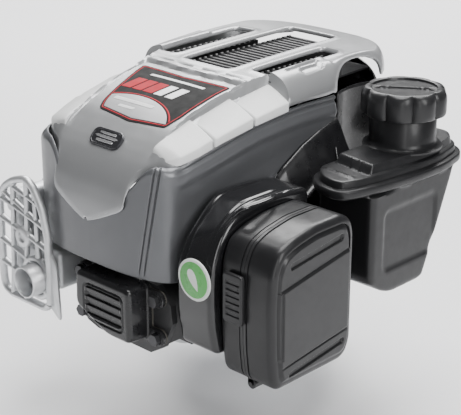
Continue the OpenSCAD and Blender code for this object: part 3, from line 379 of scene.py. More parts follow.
ribs = 2.1 * ramp(0.5 + 1.6 * np.cos(rz * 2 * math.pi / 8.4) - 0.2) * ramp(-rib_field / 2.0)
panel_edge = groove(rib_field - 1.5, 1.6, 1.3)
rocker_rings[..., 1] += np.where(on_face, 2.4 * ramp(-rib_field / 2.5) - ribs - panel_edge, 0)
rocker_rings[..., 1] = np.maximum(rocker_rings[..., 1], -225.0)
rocker_black = finish("rocker_cover_black", (0.010, 0.010, 0.011), 0.0, 0.30, 0.5, 0.03, coat=0.3, wear=0.12)
dress(loft("rocker_cover_shell", rocker_rings, 45.0), rocker_black, "engine", "cover_black", "rocker_cover")
ears = []
for ear_x, ear_z, neck_x in ((-24, 57, 0), (-24, 96, -4), (72, 60, 54), (72, 96, 54)):
    first_angle = math.pi / 2 if ear_x < 0 else -math.pi / 2
    round_end = np.linspace(first_angle, first_angle + math.pi, 16)
    tip = np.stack([ear_x + 7.5 * np.cos(round_end), ear_z + 7.5 * np.sin(round_end)], axis=1)
    lug = np.vstack([tip, [(neck_x, tip[-1, 1]), (neck_x, tip[0, 1])]])
    lug = polar_ring(lug, tip.mean(axis=0) * 0.5 + np.array([neck_x, ear_z]) * 0.5, 64)
    ear = levels(lug, [(-199.0, 0.5, 1.0), (-199.5, 0, 1.0), (-202.2, 0, 1.0), (-203.0, 0.8, 1.0)])
    ears.append(ear[:, :, [0, 2, 1]])
dress(merge("rocker_cover_ears", ears), rocker_black, "engine", "cover_black", "rocker_cover")

# ---- blower housing ----
# Dark grey metallic plastic shroud around the front of the engine. Its front face carries a double
# groove near the right corner, and its sides have a rolled crest below the pads. It is screwed to
# the block.


def smooth_line(points, count):
    """Catmull-Rom curve through the points, resampled to count places at equal arc length."""
    p = np.asarray(points, float)
    ends = np.vstack([2 * p[0] - p[1], p, 2 * p[-1] - p[-2]])
    t = np.linspace(0, 1, 24, endpoint=False)[None, :, None]
    a, b, c, d = ends[:-3, None], ends[1:-2, None], ends[2:-1, None], ends[3:, None]
    curve = 0.5 * (2 * b + (c - a) * t + (2 * a - 5 * b + 4 * c - d) * t**2 + (3 * b - a - 3 * c + d) * t**3)
    curve = np.vstack([curve.reshape(-1, p.shape[1]), p[-1:]])
    run = np.concatenate([[0], np.cumsum(np.linalg.norm(np.diff(curve, axis=0), axis=1))])
    places = np.linspace(0, run[-1], count)
    return np.stack([np.interp(places, run, curve[:, k]) for k in range(p.shape[1])], axis=1)


def thicken(piece, thick):
    """Give a sheet a wall of that thickness on its inside."""
    wall = piece.modifiers.new("wall", "SOLIDIFY")
    wall.thickness, wall.offset = thick * MM, -1.0
    return piece


def sheet(name, points, thick, toward, sharp=38.0):
    """Open sheet through a grid of points, with a wall of that thickness on its inside."""
    piece = put_mesh(name, points.reshape(-1, 3), grid_faces(*points.shape[:2]), sharp, toward)
    return thicken(piece, thick)


def left_wide(x):
    """The engine's left shoulder stands wider: places left of -45 move out by up to 8."""
    return x - 8.0 * ramp((-45.0 - x) / 38.0)


# Plan of the right half: x, y, top edge height, roll radius at the top, lower edge height
housing_rows = [(0, -214.6, 170, 4, 115), (22, -213.9, 176, 4, 114.5), (40, -211.8, 190.0, 4, 114),
                (50, -209.4, 206, 4, 113.5), (58, -206.8, 213, 5, 113), (66, -203.6, 213.5, 7, 112.5),
                (73, -199.6, 213, 9, 112), (78, -195.0, 213.5, 9, 111.5), (81, -189, 214, 8, 111),
                (83, -180, 215.5, 6, 110), (85, -163, 218.5, 5, 108), (87, -137, 225, 4, 108),
                (89, -98, 233, 3.5, 118), (90, -82, 235, 3.5, 140), (90.4, -74, 235.8, 3.5, 176),
                (90.6, -66, 236.5, 3.5, 184), (91.2, -41, 238, 3.5, 199), (91.8, -18, 238, 3.5, 208),
                (92, 4.5, 238, 3.5, 215)]
housing_line = smooth_line(np.array(housing_rows, float), 300)
housing_line = np.vstack([housing_line[:0:-1] * [-1, 1, 1, 1, 1], housing_line])
housing_line[:, 0] = left_wide(housing_line[:, 0])
plan_run = np.concatenate([[0], np.cumsum(np.hypot(*np.diff(housing_line[:, :2], axis=0).T))])
plan_run -= plan_run[299]
groove_run = 62.0
columns = np.sort(np.concatenate([np.linspace(plan_run[0], plan_run[-1], 400),
                                  np.linspace(groove_run - 3.0, groove_run + 8.0, 44)]))
top, roll, low = (np.interp(columns, plan_run, housing_line[:, k]) for k in (2, 3, 4))
wall_part, roll_part = np.linspace(0, 1, 90)[:, None], np.linspace(0, 1, 12)[1:, None] * 1.35
wall_z = low + (top - roll - low) * wall_part
housing_z = np.vstack([wall_z, top - roll + roll * np.sin(roll_part)])
tuck = np.vstack([wall_z * 0, roll * (1 - np.cos(roll_part))])
# The columns lean with the groove: each is moved along the plan by a part of its height
lean_zone = ramp((columns - 20.0) / 30.0) * ramp((115.0 - columns) / 30.0)
lean_run = columns + 0.17 * (housing_z - 150.0) * lean_zone
plan_x, plan_y = (np.interp(lean_run, plan_run, housing_line[:, k]) for k in (0, 1))
outward = right_of(np.gradient(housing_line[:, :2], axis=0))
out_x, out_y = (np.interp(lean_run, plan_run, outward[:, k]) for k in (0, 1))
side = ramp((plan_y + 190) / 14.0)
lines = groove(columns - groove_run, 1.2, 1.7) + groove(columns - groove_run - 4.8, 1.2, 1.7)
below_top = top[None, :] - housing_z
crest = side * (1.3 * ramp(1 - np.abs(below_top - 15.0) / 7.0) + groove(below_top - 5.0, 3.2, 2.0))
waist = -1.6 * side * ramp((below_top - 24.0) / 20.0)
lift = lines * ramp((housing_z - low - 3.0) / 3.0) + crest + waist
housing_points = np.stack([plan_x + out_x * (lift - tuck), plan_y + out_y * (lift - tuck), housing_z],
                          axis=-1)
shroud_paint = finish("shroud_grey_metallic", (0.13, 0.133, 0.14), 0.40, 0.34, 0.45, 0.006, drift=0.04,
                      scatter=0.03, coat=0.2, wear=0.25)
dress(sheet("blower_shroud", housing_points, 2.5, (0, -1, 0)), shroud_paint, "engine", "shroud_grey",
      "blower_housing")

# ---- rear shell and side trough ----
# Black moulded bowl around the flywheel and the starter. It is domed under the hood's rear rim and
# scooped out around the fuel cap. A glossy trough leads from the shroud's lower edge to the tank.


def outline_distance(x, y, points):
    """Signed distance from (x, y) to a closed polygon, negative inside: the least distance to any
    side, with the sign from counting how many sides a ray towards +X crosses."""
    p = np.asarray(points, float)
    q = np.roll(p, -1, axis=0)
    best, inside = np.full(x.shape, 1e9), np.zeros(x.shape, bool)
    for (ax, ay), (bx, by) in zip(p, q):
        ex, ey = bx - ax, by - ay
        t = np.clip(((x - ax) * ex + (y - ay) * ey) / (ex * ex + ey * ey + 1e-12), 0, 1)
        best = np.minimum(best, np.hypot(x - ax - t * ex, y - ay - t * ey))
        crosses = (ay > y) != (by > y)
        inside ^= crosses & (x < ax + (y - ay) * ex / (ey if abs(ey) > 1e-12 else 1e-12))
    return np.where(inside, -best, best)


def cut_sheet(name, x, y, place, cut, thick, toward=(0, 0, 1)):
    """Sheet over a grid of plan places. Faces whose centre has cut(x, y) above 0 are left out, the
    points left on the edge are moved down the slope of cut onto its zero line, and then
    place(x, y) turns every one into a point of the sheet."""
    d = cut(x, y)
    centre = (d[:-1, :-1] + d[1:, :-1] + d[:-1, 1:] + d[1:, 1:]) / 4
    keep = centre < 0
    touch_kept, touch_cut = np.zeros(x.shape, bool), np.zeros(x.shape, bool)
    for di in (0, 1):
        for dj in (0, 1):
            part = (slice(di, di + keep.shape[0]), slice(dj, dj + keep.shape[1]))
            touch_kept[part] |= keep
            touch_cut[part] |= ~keep
    edge, step = touch_kept & touch_cut, 0.05
    for _ in range(3):
        d = cut(x, y)
        gx, gy = (cut(x + step, y) - d) / step, (cut(x, y + step) - d) / step
        size = np.maximum(gx * gx + gy * gy, 0.05)
        x, y = np.where(edge, x - d * gx / size, x), np.where(edge, y - d * gy / size, y)
    points = place(x, y).reshape(-1, 3)
    faces = grid_faces(*x.shape)[keep.reshape(-1)]
    used, faces = np.unique(faces, return_inverse=True)
    piece = put_mesh(name, points[used], faces.reshape(-1, 4), toward=toward)
    return thicken(piece, thick)


# Hood stations: y, height on the centre line, half width of the top, half width at the rim, rim height
hood_rows = np.array([(-218.2, 161.0, 2.0, 2.5, 160.5), (-217.6, 166.0, 14.0, 14.5, 165.0),
                      (-216.6, 173.5, 29.0, 29.5, 172.0), (-215.0, 182.0, 43.0, 43.6, 180.5),
                      (-212.0, 194.0, 45.0, 46.0, 192.0), (-207.0, 205.0, 47.0, 49.0, 202.0),
                      (-200.0, 215.0, 50.0, 56.0, 209.0), (-193.0, 221.5, 52.0, 66.0, 212.5),
                      (-187.0, 226.0, 53.0, 74.0, 214.5), (-178.0, 232.0, 54.0, 80.0, 217.0),
                      (-163.0, 240.5, 55.0, 83.0, 219.5), (-137.0, 251.0, 57.0, 85.5, 226.0),
                      (-98.0, 261.0, 60.0, 88.0, 235.0), (-57.0, 264.3, 70.0, 90.5, 240.0),
                      (14.0, 266.5, 79.0, 92.0, 240.0), (60.0, 267.0, 79.0, 91.0, 242.0),
                      (80.0, 266.8, 76.0, 87.0, 245.0), (96.0, 266.2, 58.0, 72.0, 250.0),
                      (103.8, 265.2, 34.0, 46.0, 256.0)])
hood_line = smooth_line(hood_rows, 420)
hood_y = hood_line[:, 0]
hood_outline = np.vstack([np.column_stack([hood_line[::6, 3], hood_y[::6]]),
                          np.column_stack([left_wide(-hood_line[::-6, 3]), hood_y[::-6]])])
pocket_x, pocket_y, pocket_r = 148.0, 42.0, 66.8
bowl_edge = smooth_line([(114.8, 126.3), (114.8, 150), (114.8, 200), (114.8, 222), (114, 231), (111, 239.5),
                         (105, 248), (96, 254.5), (84, 258.5), (66, 261)], 120)
bowl_run = np.concatenate([[0], np.cumsum(np.linalg.norm(np.diff(bowl_edge, axis=0), axis=1))])


def bowl_place(a, b):
    """Bowl point from degrees around Z and the run along the profile."""
    r, z = np.interp(b, bowl_run, bowl_edge[:, 0]), np.interp(b, bowl_run, bowl_edge[:, 1])
    turn = np.radians(a)
    return np.stack([r * np.cos(turn), r * np.sin(turn), z], -1)


def bowl_cut(a, b):
    """Above 0 under the hood, in the cap's pocket and in front of the bowl's end."""
    p = bowl_place(a, b)
    x, y = p[..., 0], p[..., 1]
    pocket = pocket_r - 0.3 - np.hypot(x - pocket_x, y - pocket_y)
    front_end = np.where(x > 60, 5.0, -18.5) - y
    rim_z = np.interp(y, hood_y, hood_line[:, 4])
    under = np.minimum(-outline_distance(x, y, hood_outline) - 1.0, p[..., 2] - rim_z + 3.0)
    return np.maximum.reduce([pocket, front_end, under])


turn_grid, run_grid = np.meshgrid(np.linspace(-12, 192, 400), bowl_run, indexing="ij")
shell_paint = finish("rear_shell_black", (0.008, 0.008, 0.009), 0.0, 0.30, 0.6, 0.03, coat=0.3, wear=0.1)
rear_bowl = cut_sheet("rear_bowl", turn_grid, run_grid, bowl_place, bowl_cut, 2.2, (0, 1, 0))
dress(rear_bowl, shell_paint, "engine", "shell_black", "rear_shell")
arc = np.radians(np.linspace(100, 238, 130))[None, :]
arc_x, arc_y = pocket_x + 65.6 * np.cos(arc), pocket_y + 65.6 * np.sin(arc)
reach_in = np.hypot(arc_x, arc_y)
arc_top = np.where(arc_y > pocket_y, np.interp(reach_in, bowl_edge[::-1, 0], bowl_edge[::-1, 1]) - 1.0,
                   np.interp(arc_x, [91.0, 96.0, 112.5], [216.0, 203.0, 184.0]))
arc_top = np.where(outline_distance(arc_x, arc_y, hood_outline) < -0.5, 238.0, arc_top)
arc_up = np.linspace(0, 1, 40)[:, None]
keep_arc = (reach_in[0] < 114.5)
pocket_wall = np.stack([arc_x + arc_up * 0, arc_y + arc_up * 0, 126.5 + (arc_top - 126.5) * arc_up], -1)
pocket_wall = pocket_wall[:, keep_arc]
dress(sheet("pocket_wall", pocket_wall, 1.8, (1, 0, 0)), shell_paint, "engine", "shell_black", "rear_shell")
trough_y = np.linspace(-78, 6, 90)[None, :]
trough_top = np.interp(trough_y, [-78, -74, -66, -41, -18, 6], [172.0, 180.0, 186.5, 201.0, 210.0, 217.0])
trough_t = np.linspace(0, 1, 40)[:, None]
trough = np.stack([91.0 + 21.5 * trough_t**0.8 + trough_y * 0,
                   trough_y + trough_t * 0,
                   trough_top - 30.0 * np.sin(trough_t * math.pi / 2) ** 1.3], -1)
dress(sheet("side_trough", trough, 2.0, (1, 0, 1)), shell_paint, "engine", "shell_black", "rear_shell")

# ---- hood ----
# One injection-moulded cover in silver pearl plastic that drops from the flat top over a knee into a
# V-shaped nose. A raised double roll frames the label, and three openings over the flywheel have
# rolled lips. It clips to the housing below it.
openings = [((-66.0, -62.0), (-46.0, 44.0)), ((-29.0, -70.0), (29.0, 78.0)), ((46.0, -58.0), (66.0, 38.0))]
label_top_y, label_half = -90.0, 57.0


def station(y, column):
    """One column of the hood's stations at any y."""
    return np.interp(y, hood_y, hood_line[:, column])


def label_outside(x, y):
    """Distance outside the sunken face that runs from the label's top edge down to the nose. Its sides
    are upright lines, and its top edge dips in a shallow V at the middle."""
    top_line = label_top_y + 3.0 - 4.5 * (1 - np.clip(np.abs(x) / label_half, 0, 1))
    above = y - top_line
    beside = np.abs(x) - (label_half + 1.5 - 0.06 * (label_top_y - y).clip(0, 60))
    return np.hypot(np.maximum(above, 0), np.maximum(beside, 0)) + np.minimum(np.maximum(above, beside), 0)


def opening_distance(x, y):
    """Least signed distance to the three air openings."""
    return np.minimum.reduce([box_distance(x, y, low, high, 5.0) for low, high in openings])


def hood_base(x, y):
    """Hood height without its rolls: the centre line less a small crown, less the shoulder, which
    is an ellipse's quarter from the top's half width out to the rim."""
    crest_z, half, rim = station(y, 1), station(y, 2), station(y, 3)
    t = np.clip((np.abs(x) - half) / np.maximum(rim - half, 0.1), 0, 1.0)
    fall = (crest_z - station(y, 4)) * (1 - np.sqrt(np.maximum(1 - t * t, 0)))
    return crest_z - 2.0 * (x / 80.0) ** 2 - fall


def hood_height(x, y):
    """Hood height with the raised roll around the label, the groove outside it, the shelf under the
    pads, the lips of the openings and the rounded nose."""
    out = label_outside(x, y)
    fade = ramp((y + 196.0) / 14.0)
    roll_up = 3.6 * ramp(out / 2.6) - 1.6 * ramp((out - 6.5) / 2.0) * ramp((11.5 - out) / 2.0)
    settle = 1.6 * ramp((out - 12.0) / 9.0)
    far = ramp((y + 92.0) / 16.0)
    hole = opening_distance(x, y)
    pocket = np.hypot(x - pocket_x, y - pocket_y) - pocket_r
    lip = rolled(hole, 4.0) - 1.4 * ramp(1 - hole / 9.0) + rolled(pocket, 4.0) - 1.2 * ramp(1 - pocket / 9.0)
    slot_a = box_distance(x, y, (71.0, -40.0), (73.4, 0.0), 1.1)
    slot_b = box_distance(x, y, (76.5, -28.0), (82.5, -4.0), 3.0)
    dents = 2.2 * ramp(1 - slot_a / 1.5) + 3.0 * ramp(1 - slot_b / 2.0)
    nose = rolled((station(y, 3) - np.abs(x)) * 0.6, 2.6) * ramp((-186.0 - y) / 5.0)
    height = hood_base(x, y) - 3.4 + fade * (roll_up - settle * (1 - far)) + 1.0 * far - lip - dents - nose
    inner, outer, low_z = (np.interp(y, pad_line[:, 0], pad_line[:, k]) for k in (1, 2, 3))
    t = (np.abs(x) - inner) / (outer - inner)
    shelf = low_z + 4.0 + 13.0 * (1 - t.clip(0, 1))
    on_shelf = ramp((np.abs(x) - inner + 0.4) / 1.2) * ramp((y + 191.0) / 3.0) * ramp((-57.5 - y) / 1.2)
    height += 1.7 * ramp((np.abs(x) - 66.5) / 1.0) * ramp((y + 57.5) / 1.2) * ramp((10.0 - y) / 1.2)
    return np.where(height > shelf, height + (shelf - height) * on_shelf, height)


def hood_cut(x, y):
    """Above 0 inside the openings and inside the fuel cap's pocket."""
    return np.maximum(-opening_distance(x, y), pocket_r - np.hypot(x - pocket_x, y - pocket_y))


# Pads: y, inner x, outer x, height of the lower outer edge
pad_line = np.array([(-190, 56, 74, 212), (-180, 56.5, 80, 214), (-163, 57, 84, 218), (-137, 57.5, 87, 225),
                     (-98, 60, 89.5, 232.0), (-57, 66, 91.5, 237.0), (14, 70, 93, 237.0)], float)
across = np.sin(np.linspace(-1, 1, 230) * math.pi / 2 * 0.86) / math.sin(math.pi / 2 * 0.86)
plan_x = hood_line[:, 3][::2, None] * across[None, :]
plan_y = np.repeat(hood_y[::2, None], 230, axis=1)
silver_pearl = finish("silver_pearl_plastic", (0.40, 0.405, 0.412), 0.55, 0.33, 0.5, 0.008, drift=0.03,
                      scatter=0.03, coat=0.2, wear=0.35)


def on_hood(x, y, lift=0.0):
    """Point of the hood's outer face over a plan place, raised by lift."""
    return np.stack([left_wide(x), y, hood_height(x, y) + lift], -1)


dress(cut_sheet("hood_cover", plan_x, plan_y, on_hood, hood_cut, 2.4), silver_pearl, "engine",
      "hood_silver", "hood")

# ---- side pads ----
# Off-white moulded blocks, three on each shoulder of the hood, each a step above the one in front.
# They are clipped on with thin gaps between them, and a silver step of the hood follows the last.
pad_spans = [(-189.0, -147.5), (-145.0, -101.5), (-99.0, -58.5)]


def pad_rings(near, far, mirror):
    """One pad as rings along Y. Each ring is a slope from the inner edge, a rounded brow and an
    upright outer face, closed below, and the rings shrink at both ends to round them."""
    ends = np.array([0, 0.15, 0.5, 1.0, 1.8])
    ys = np.concatenate([near + ends, np.linspace(near + 2.6, far - 2.6, 24), (far - ends)[::-1]])
    rings = []
    for y in ys:
        inner, outer, low_z = (np.interp(y, pad_line[:, 0], pad_line[:, k]) for k in (1, 2, 3))
        end = min(y - near, far - y)
        pull = float(rolled(np.array(end), 1.4))
        nose = float(rolled(np.array(y - near), 10.0)) * 0.8 if near < -180 else 0.0
        step = 4.0 * (far - y) / (far - near)
        inner_z = low_z + 19.5 - step - pull - nose * 0.4
        brow_z = low_z + 8.0 - step * 0.4 - pull - nose * 0.4
        outer = outer - pull - nose
        t = np.linspace(0, 1, 10)
        slope_x = inner + 1.2 + (outer - 3.2 - inner) * t
        slope_z = inner_z + (brow_z + 1.0 - inner_z) * t + 0.8 * np.sin(t * math.pi)
        a = np.linspace(0.25, 1, 6) * math.pi / 2
        brow = np.stack([outer - 2.0 + 2.0 * np.sin(a), brow_z - 1.4 + 2.0 * np.cos(a)], axis=1)
        rest = [(outer, low_z + 1.5), (outer - 0.3, low_z - 0.5), (outer - 3.5, low_z - 0.5),
                (inner + 3, inner_z - 6), (inner + 0.2, inner_z - 4.5), (inner + 0.2, inner_z - 0.6)]
        loop = np.vstack([np.stack([slope_x, slope_z], axis=1), brow, rest])
        rings.append(np.column_stack([left_wide(loop[:, 0] * mirror), np.full(len(loop), y), loop[:, 1]]))
    return rings


pad_paint = finish("pad_white_plastic", (0.80, 0.805, 0.80), 0.0, 0.33, 0.7, 0.02, drift=0.03, coat=0.2)
dress(merge("shoulder_pads", [pad_rings(a, b, m) for a, b in pad_spans for m in (-1, 1)], 50.0), pad_paint,
      "engine", "pad_white", "side_pads")

# ---- intake grille ----
# Black slats across the three openings, on a rail at each side of every opening. A small clip at each slat's
# end is light grey as a painted highlight; a dark disc and a backing plate below are painted shade.
def round_ring(centre, radius, count):
    """Circle in a plane, or an ellipse where radius is a pair."""
    turn = np.linspace(0, 2 * math.pi, count, endpoint=False)
    spokes = np.stack([np.cos(turn), np.sin(turn)], axis=1)
    return np.asarray(centre, float) + np.asarray(radius, float) * spokes


def at_depth(ring, y):
    """Ring of X and Z places at one Y."""
    return at_height(ring, y)[:, [0, 2, 1]]


def at_side(ring, x):
    """Ring of Y and Z places at one X."""
    return at_height(ring, x)[:, [2, 0, 1]]


slat_z, rail_z, slat_pitch = 257.8, 252.0, 7.4
rail = np.array([(-1.5, -7), (1.5, -7), (1.5, 6.5), (-1.5, 6.5)])
slats_and_shade_sheets, clips = [], []
for low, high in openings:
    for slat_y in np.arange(low[1] + 5.0, high[1] - 2.0, slat_pitch):
        oval = round_ring((slat_y, slat_z), (2.5, 2.2), 16)
        slats_and_shade_sheets.append([at_side(oval, x) for x in (low[0] - 2.0, high[0] + 2.0)])
        for end in (low[0] + 1.4, high[0] - 1.4):
            foot = np.array([end, slat_y]) + (oval - [slat_y, slat_z]) * [0.35, 0.6]
            clips.append([at_height(foot, z) for z in (258.2, 260.8)])
    for rail_x in (low[0] - 1.0, high[0] + 1.0):
        slats_and_shade_sheets.append([at_depth(rail + [rail_x, rail_z], y) for y in (low[1], high[1])])
    slats_and_shade_sheets.append([at_side(rail + [high[1] + 1.0, rail_z], x) for x in (low[0] - 2.5, high[0] + 2.5)])
# Painted shade: the dark disc and the dark backing plate close the openings below the slats and stand in for
# the shaded inside of the housing.
slats_and_shade_sheets.append([at_height(round_ring((0, 4), 44, 96), z) for z in (246.0, 249.5)])
shade_backing = np.array([(-72, -84), (72, -84), (72, -16), (66, 84), (-66, 84)], float)
slats_and_shade_sheets.append([at_height(shade_backing, z) for z in (243.0, 245.0)])
grille_and_shade_paint = finish("grille_black", (0.011, 0.011, 0.012), 0.0, 0.36, 0.5, 0.03, wear=0.15)
dress(merge("grille_slats_and_shade_sheets", slats_and_shade_sheets, 50.0), grille_and_shade_paint, "engine", "grille_black", "intake_grille")
# Painted highlight: the clips at the slats' ends are light grey to stand for glints on the black slat ends.
clip_highlight_paint = finish("clip_painted_highlight", (0.30, 0.30, 0.30), 0.2, 0.4, 0.5, 0.02)
dress(merge("grille_clips", clips, 50.0), clip_highlight_paint, "engine", "grille_black", "intake_grille")

# ---- label and badge ----
# A printed foil on the sunken face below the openings: black field, dark red outline, a grey oval
# window and plain bars. A small stadium plate with a dark rim sits on the knee below it.
label_edge = round_corners([(-55, -94.5), (0, -98.0), (55, -94.5), (51, -150), (46, -166), (5, -170.5),
                            (-38, -166), (-43, -157)], 3.0)
lx, ly = np.meshgrid(np.linspace(-60, 60, 260), np.linspace(-174, -90, 190), indexing="ij")


def foil(name, cut, lift, paint):
    """Thin print on the sunken face, lifted a little above it."""
    piece = cut_sheet(name, lx, ly, lambda x, y: on_hood(x, y, lift), cut, 0.2)
    return dress(piece, paint, "engine", "label_black", "label_panel")


def label_field(x, y):
    return outline_distance(x, y, label_edge)


foil("label_field", label_field, 0.45, finish("label_black", (0.002, 0.002, 0.002), 0.0, 0.75, 0.5, 0.004))
label_red = finish("label_red", (0.42, 0.004, 0.016), 0.0, 0.7, 0.5, 0.004)
foil("label_border", lambda x, y: np.abs(label_field(x, y) + 2.2) - 0.45, 0.62, label_red)
label_grey = finish("label_grey", (0.36, 0.36, 0.37), 0.3, 0.35, 0.5, 0.01, coat=0.3)


def label_window(x, y):
    """Signed distance to the part of an ellipse that lies inside the label's border."""
    oval = (np.hypot((x + 8) / 54.0, (y + 172) / 31.0) - 1) * 31.0
    return np.maximum(oval, label_field(x, y) + 3.6)


foil("label_window", label_window, 0.62, label_grey)
foil("label_arc", lambda x, y: np.maximum(np.abs(label_window(x, y) - 1.6) - 0.5, label_field(x, y) + 3.6),
     0.62, label_red)
label_white = finish("label_white", (0.72, 0.72, 0.72), 0.0, 0.3, 0.5, 0.01, coat=0.3)


def slanted(x, y, low_x, high_x, low_y, high_y):
    """Signed distance to a bar that leans to the right."""
    return box_distance(x - (y + 130) * 0.35, y, (low_x, low_y), (high_x, high_y), 0.8)


foil("label_line", lambda x, y: slanted(x, y, -40, 28, -109.5, -106.5), 0.62, label_white)
foil("label_bars_red", lambda x, y: np.minimum.reduce([slanted(x, y, a, a + 12, -134, -117)
                                                       for a in (-43, -29, -15)]), 0.62, label_red)
foil("label_bars_white", lambda x, y: np.minimum.reduce([slanted(x, y, a, a + 10, -134, -117)
                                                         for a in (-1, 13)]), 0.62, label_white)
foil("label_marks", lambda x, y: np.minimum(slanted(x, y, -28, 22, -152, -148),
                                            slanted(x, y, -12, 8, -159, -156)), 0.78, label_white)

badge_tilt = math.radians(46.0)
badge_ring = polar_ring(round_corners([(-19, -8.5), (19, -8.5), (19, 8.5), (-19, 8.5)], 8.0), (0.0, 0.0), 160)


def on_knee(flat):
    """Badge rings from its own plane to the hood's knee."""
    u, v, w = flat[..., 0], flat[..., 1], flat[..., 2]
    y = -190.0 + v * math.cos(badge_tilt) - w * math.sin(badge_tilt)
    return np.stack([u, y, 221.2 + v * math.sin(badge_tilt) + w * math.cos(badge_tilt)], -1)


badge_steps = [(0.0, 0, 1.0), (1.6, 0.0, 1.0), (2.2, 0.6, 1.0), (2.2, 1.6, 1.0), (1.7, 2.0, 1.0),
               (1.7, 2.0, 0.0)]
badge_dark = finish("badge_rim", (0.05, 0.05, 0.055), 0.6, 0.3, 0.5, 0.01, coat=0.3)
dress(loft("hood_badge_plate", on_knee(levels(badge_ring, badge_steps))), badge_dark, "engine",
      "badge_silver", "hood_badge")
badge_bright = finish("badge_silver", (0.62, 0.62, 0.63), 0.8, 0.25, 0.5, 0.01)
badge_bars = []
for low_v, high_v, half in ((-4.6, -2.2, 10.5), (-0.8, 1.6, 14.5), (3.0, 5.0, 10.5)):
    bar = polar_ring(round_corners([(-half, low_v), (half, low_v), (half, high_v), (-half, high_v)], 1.0),
                     (0.0, (low_v + high_v) / 2), 60)
    badge_bars.append(on_knee(levels(bar, [(1.5, 0, 1.0), (2.0, 0.0, 1.0), (2.2, 0.2, 1.0)])))
dress(merge("hood_badge_bars", badge_bars), badge_bright, "engine", "badge_silver", "hood_badge")

# ---- carburetor cowl ----
# Glossy black cover that sweeps over the carburetor between the housing and the air cleaner, with a
# raised rim line along its crest. Its round front plate shows a plain leaf.
cowl_edge = [(-193, 60), (-199, 90), (-199.3, 128), (-197, 145), (-191.5, 159.5), (-182, 172.5),
             (-168, 181.5), (-148, 186), (-112, 186), (-78, 182), (-78, 60)]
cowl_ring = polar_ring(round_corners(cowl_edge, 9.0), (-135.0, 125.0), 420)
cowl_steps = edge_steps(92.0, 4.0, -1.0, 0.0, 6)[::-1]
cowl_steps += [(x, 0.0, 1.0) for x in np.linspace(97, 127, 26)] + edge_steps(134.0, 5.5, 1.0, 0.0, 8)
cowl_steps += face_steps(134.0, 5.5, 20)
cowl_rings = levels(cowl_ring, cowl_steps)
cy, cz, cx = cowl_rings[..., 0], cowl_rings[..., 1], cowl_rings[..., 2]
ring_out = right_of(np.gradient(cowl_ring, axis=0))
crest_zone = ramp((cz - 108.0) / 20.0) * ramp((-100.0 - cy) / 20.0)
cowl_lift = (groove(cx - 124.0, 2.2, 1.1) + groove(cx - 99.5, 2.4, 1.0)) * crest_zone
cowl_lift = np.where((cx > 95) & (cx < 131), cowl_lift - 1.2 * ramp((cx - 124) / 4.0) * crest_zone, 0.0)
lean = -10.0 * ((134.0 - cx) / 42.0) * ramp((cz - 118.0) / 45.0) * ramp((-150.0 - cy) / 30.0)
cowl_points = np.stack([cx, cy + ring_out[:, 0] * cowl_lift, cz + ring_out[:, 1] * cowl_lift + lean], -1)
cowl_paint = finish("cowl_gloss_black", (0.009, 0.009, 0.010), 0.0, 0.20, 0.6, 0.015, coat=0.5, wear=0.15)
cowl_points = np.concatenate([cowl_points, cowl_points[:, :1]], axis=1)
dress(sheet("cowl_shell", cowl_points, 2.2, (1, 0, 0), 45.0), cowl_paint, "engine", "cowl_black",
      "carburetor_cowl")
loop_turn = np.linspace(0, 2 * math.pi, 14, endpoint=False)
tab_path = smooth_line([(127, -168, 175), (133, -165, 183.5), (137, -160, 186), (138.5, -146, 186.3),
                        (137, -130, 186), (132, -122, 185)], 60)


def tube(path, radius, flat=1.0):
    """Rings of a round section along a path: each ring lies across the path's direction. flat
    squashes the section's height."""
    path = np.asarray(path, float)
    along = np.gradient(path, axis=0)
    along /= np.linalg.norm(along, axis=1)[:, None]
    guide = np.where(np.abs(along[:, 2:3]) > 0.9, np.array([[1.0, 0, 0]]), np.array([[0, 0, 1.0]]))
    side_way = np.cross(along, guide)
    side_way /= np.linalg.norm(side_way, axis=1)[:, None]
    up = np.cross(side_way, along)
    wide = np.broadcast_to(np.asarray(radius, float), (len(path),))[:, None, None]
    return path[:, None] + wide * (np.cos(loop_turn)[None, :, None] * side_way[:, None] +
                                   flat * np.sin(loop_turn)[None, :, None] * up[:, None])


dress(merge("cowl_tab", [tube(tab_path, 2.2, 0.8)], 50.0), cowl_paint, "engine", "cowl_black",
      "carburetor_cowl")
plate_x, plate_z = 115, 127.5
plate_ring = round_ring((plate_x, plate_z), 18.5, 128)


def on_front(rings):
    """Rings drawn in X and Z with a height along -Y, as points."""
    return np.stack([rings[..., 0], -rings[..., 2], rings[..., 1]], -1)


plate_green = finish("plate_green", (0.075, 0.40, 0.075), 0.0, 0.3, 0.6, 0.01, drift=0.05, coat=0.3)
plate_white = finish("plate_white", (0.74, 0.76, 0.73), 0.0, 0.3, 0.6, 0.01, coat=0.3)
plate_steps = [(199.2, 0, 1.0), (200.3, 0, 1.0), (200.8, 0.5, 1.0), (200.8, 1.0, 1.0), (200.8, 1.0, 0.0)]
dress(loft("cowl_plate", on_front(levels(plate_ring, plate_steps))), plate_white, "engine", "badge_green",
      "cowl_badge")
disc_steps = [(200.6, 2.6, 1.0), (201.0, 2.6, 1.0), (201.1, 3.0, 1.0), (201.1, 3.0, 0.0)]
dress(loft("cowl_plate_disc", on_front(levels(plate_ring, disc_steps))), plate_green, "engine",
      "badge_green", "cowl_badge")
leaf_t = np.linspace(0, 2 * math.pi, 80, endpoint=False)
leaf = np.stack([5.6 * np.sin(leaf_t) * np.abs(np.sin(leaf_t / 2)), -10.0 * np.cos(leaf_t)], axis=1)
leaf = leaf @ np.array([[0.87, 0.5], [-0.5, 0.87]]) + [plate_x, plate_z]
dress(loft("cowl_plate_leaf", on_front(levels(leaf, [(201.0, 0, 1.0), (201.5, 0, 1.0), (201.5, 0, 0.0)]))),
      plate_white, "engine", "badge_green", "cowl_badge")

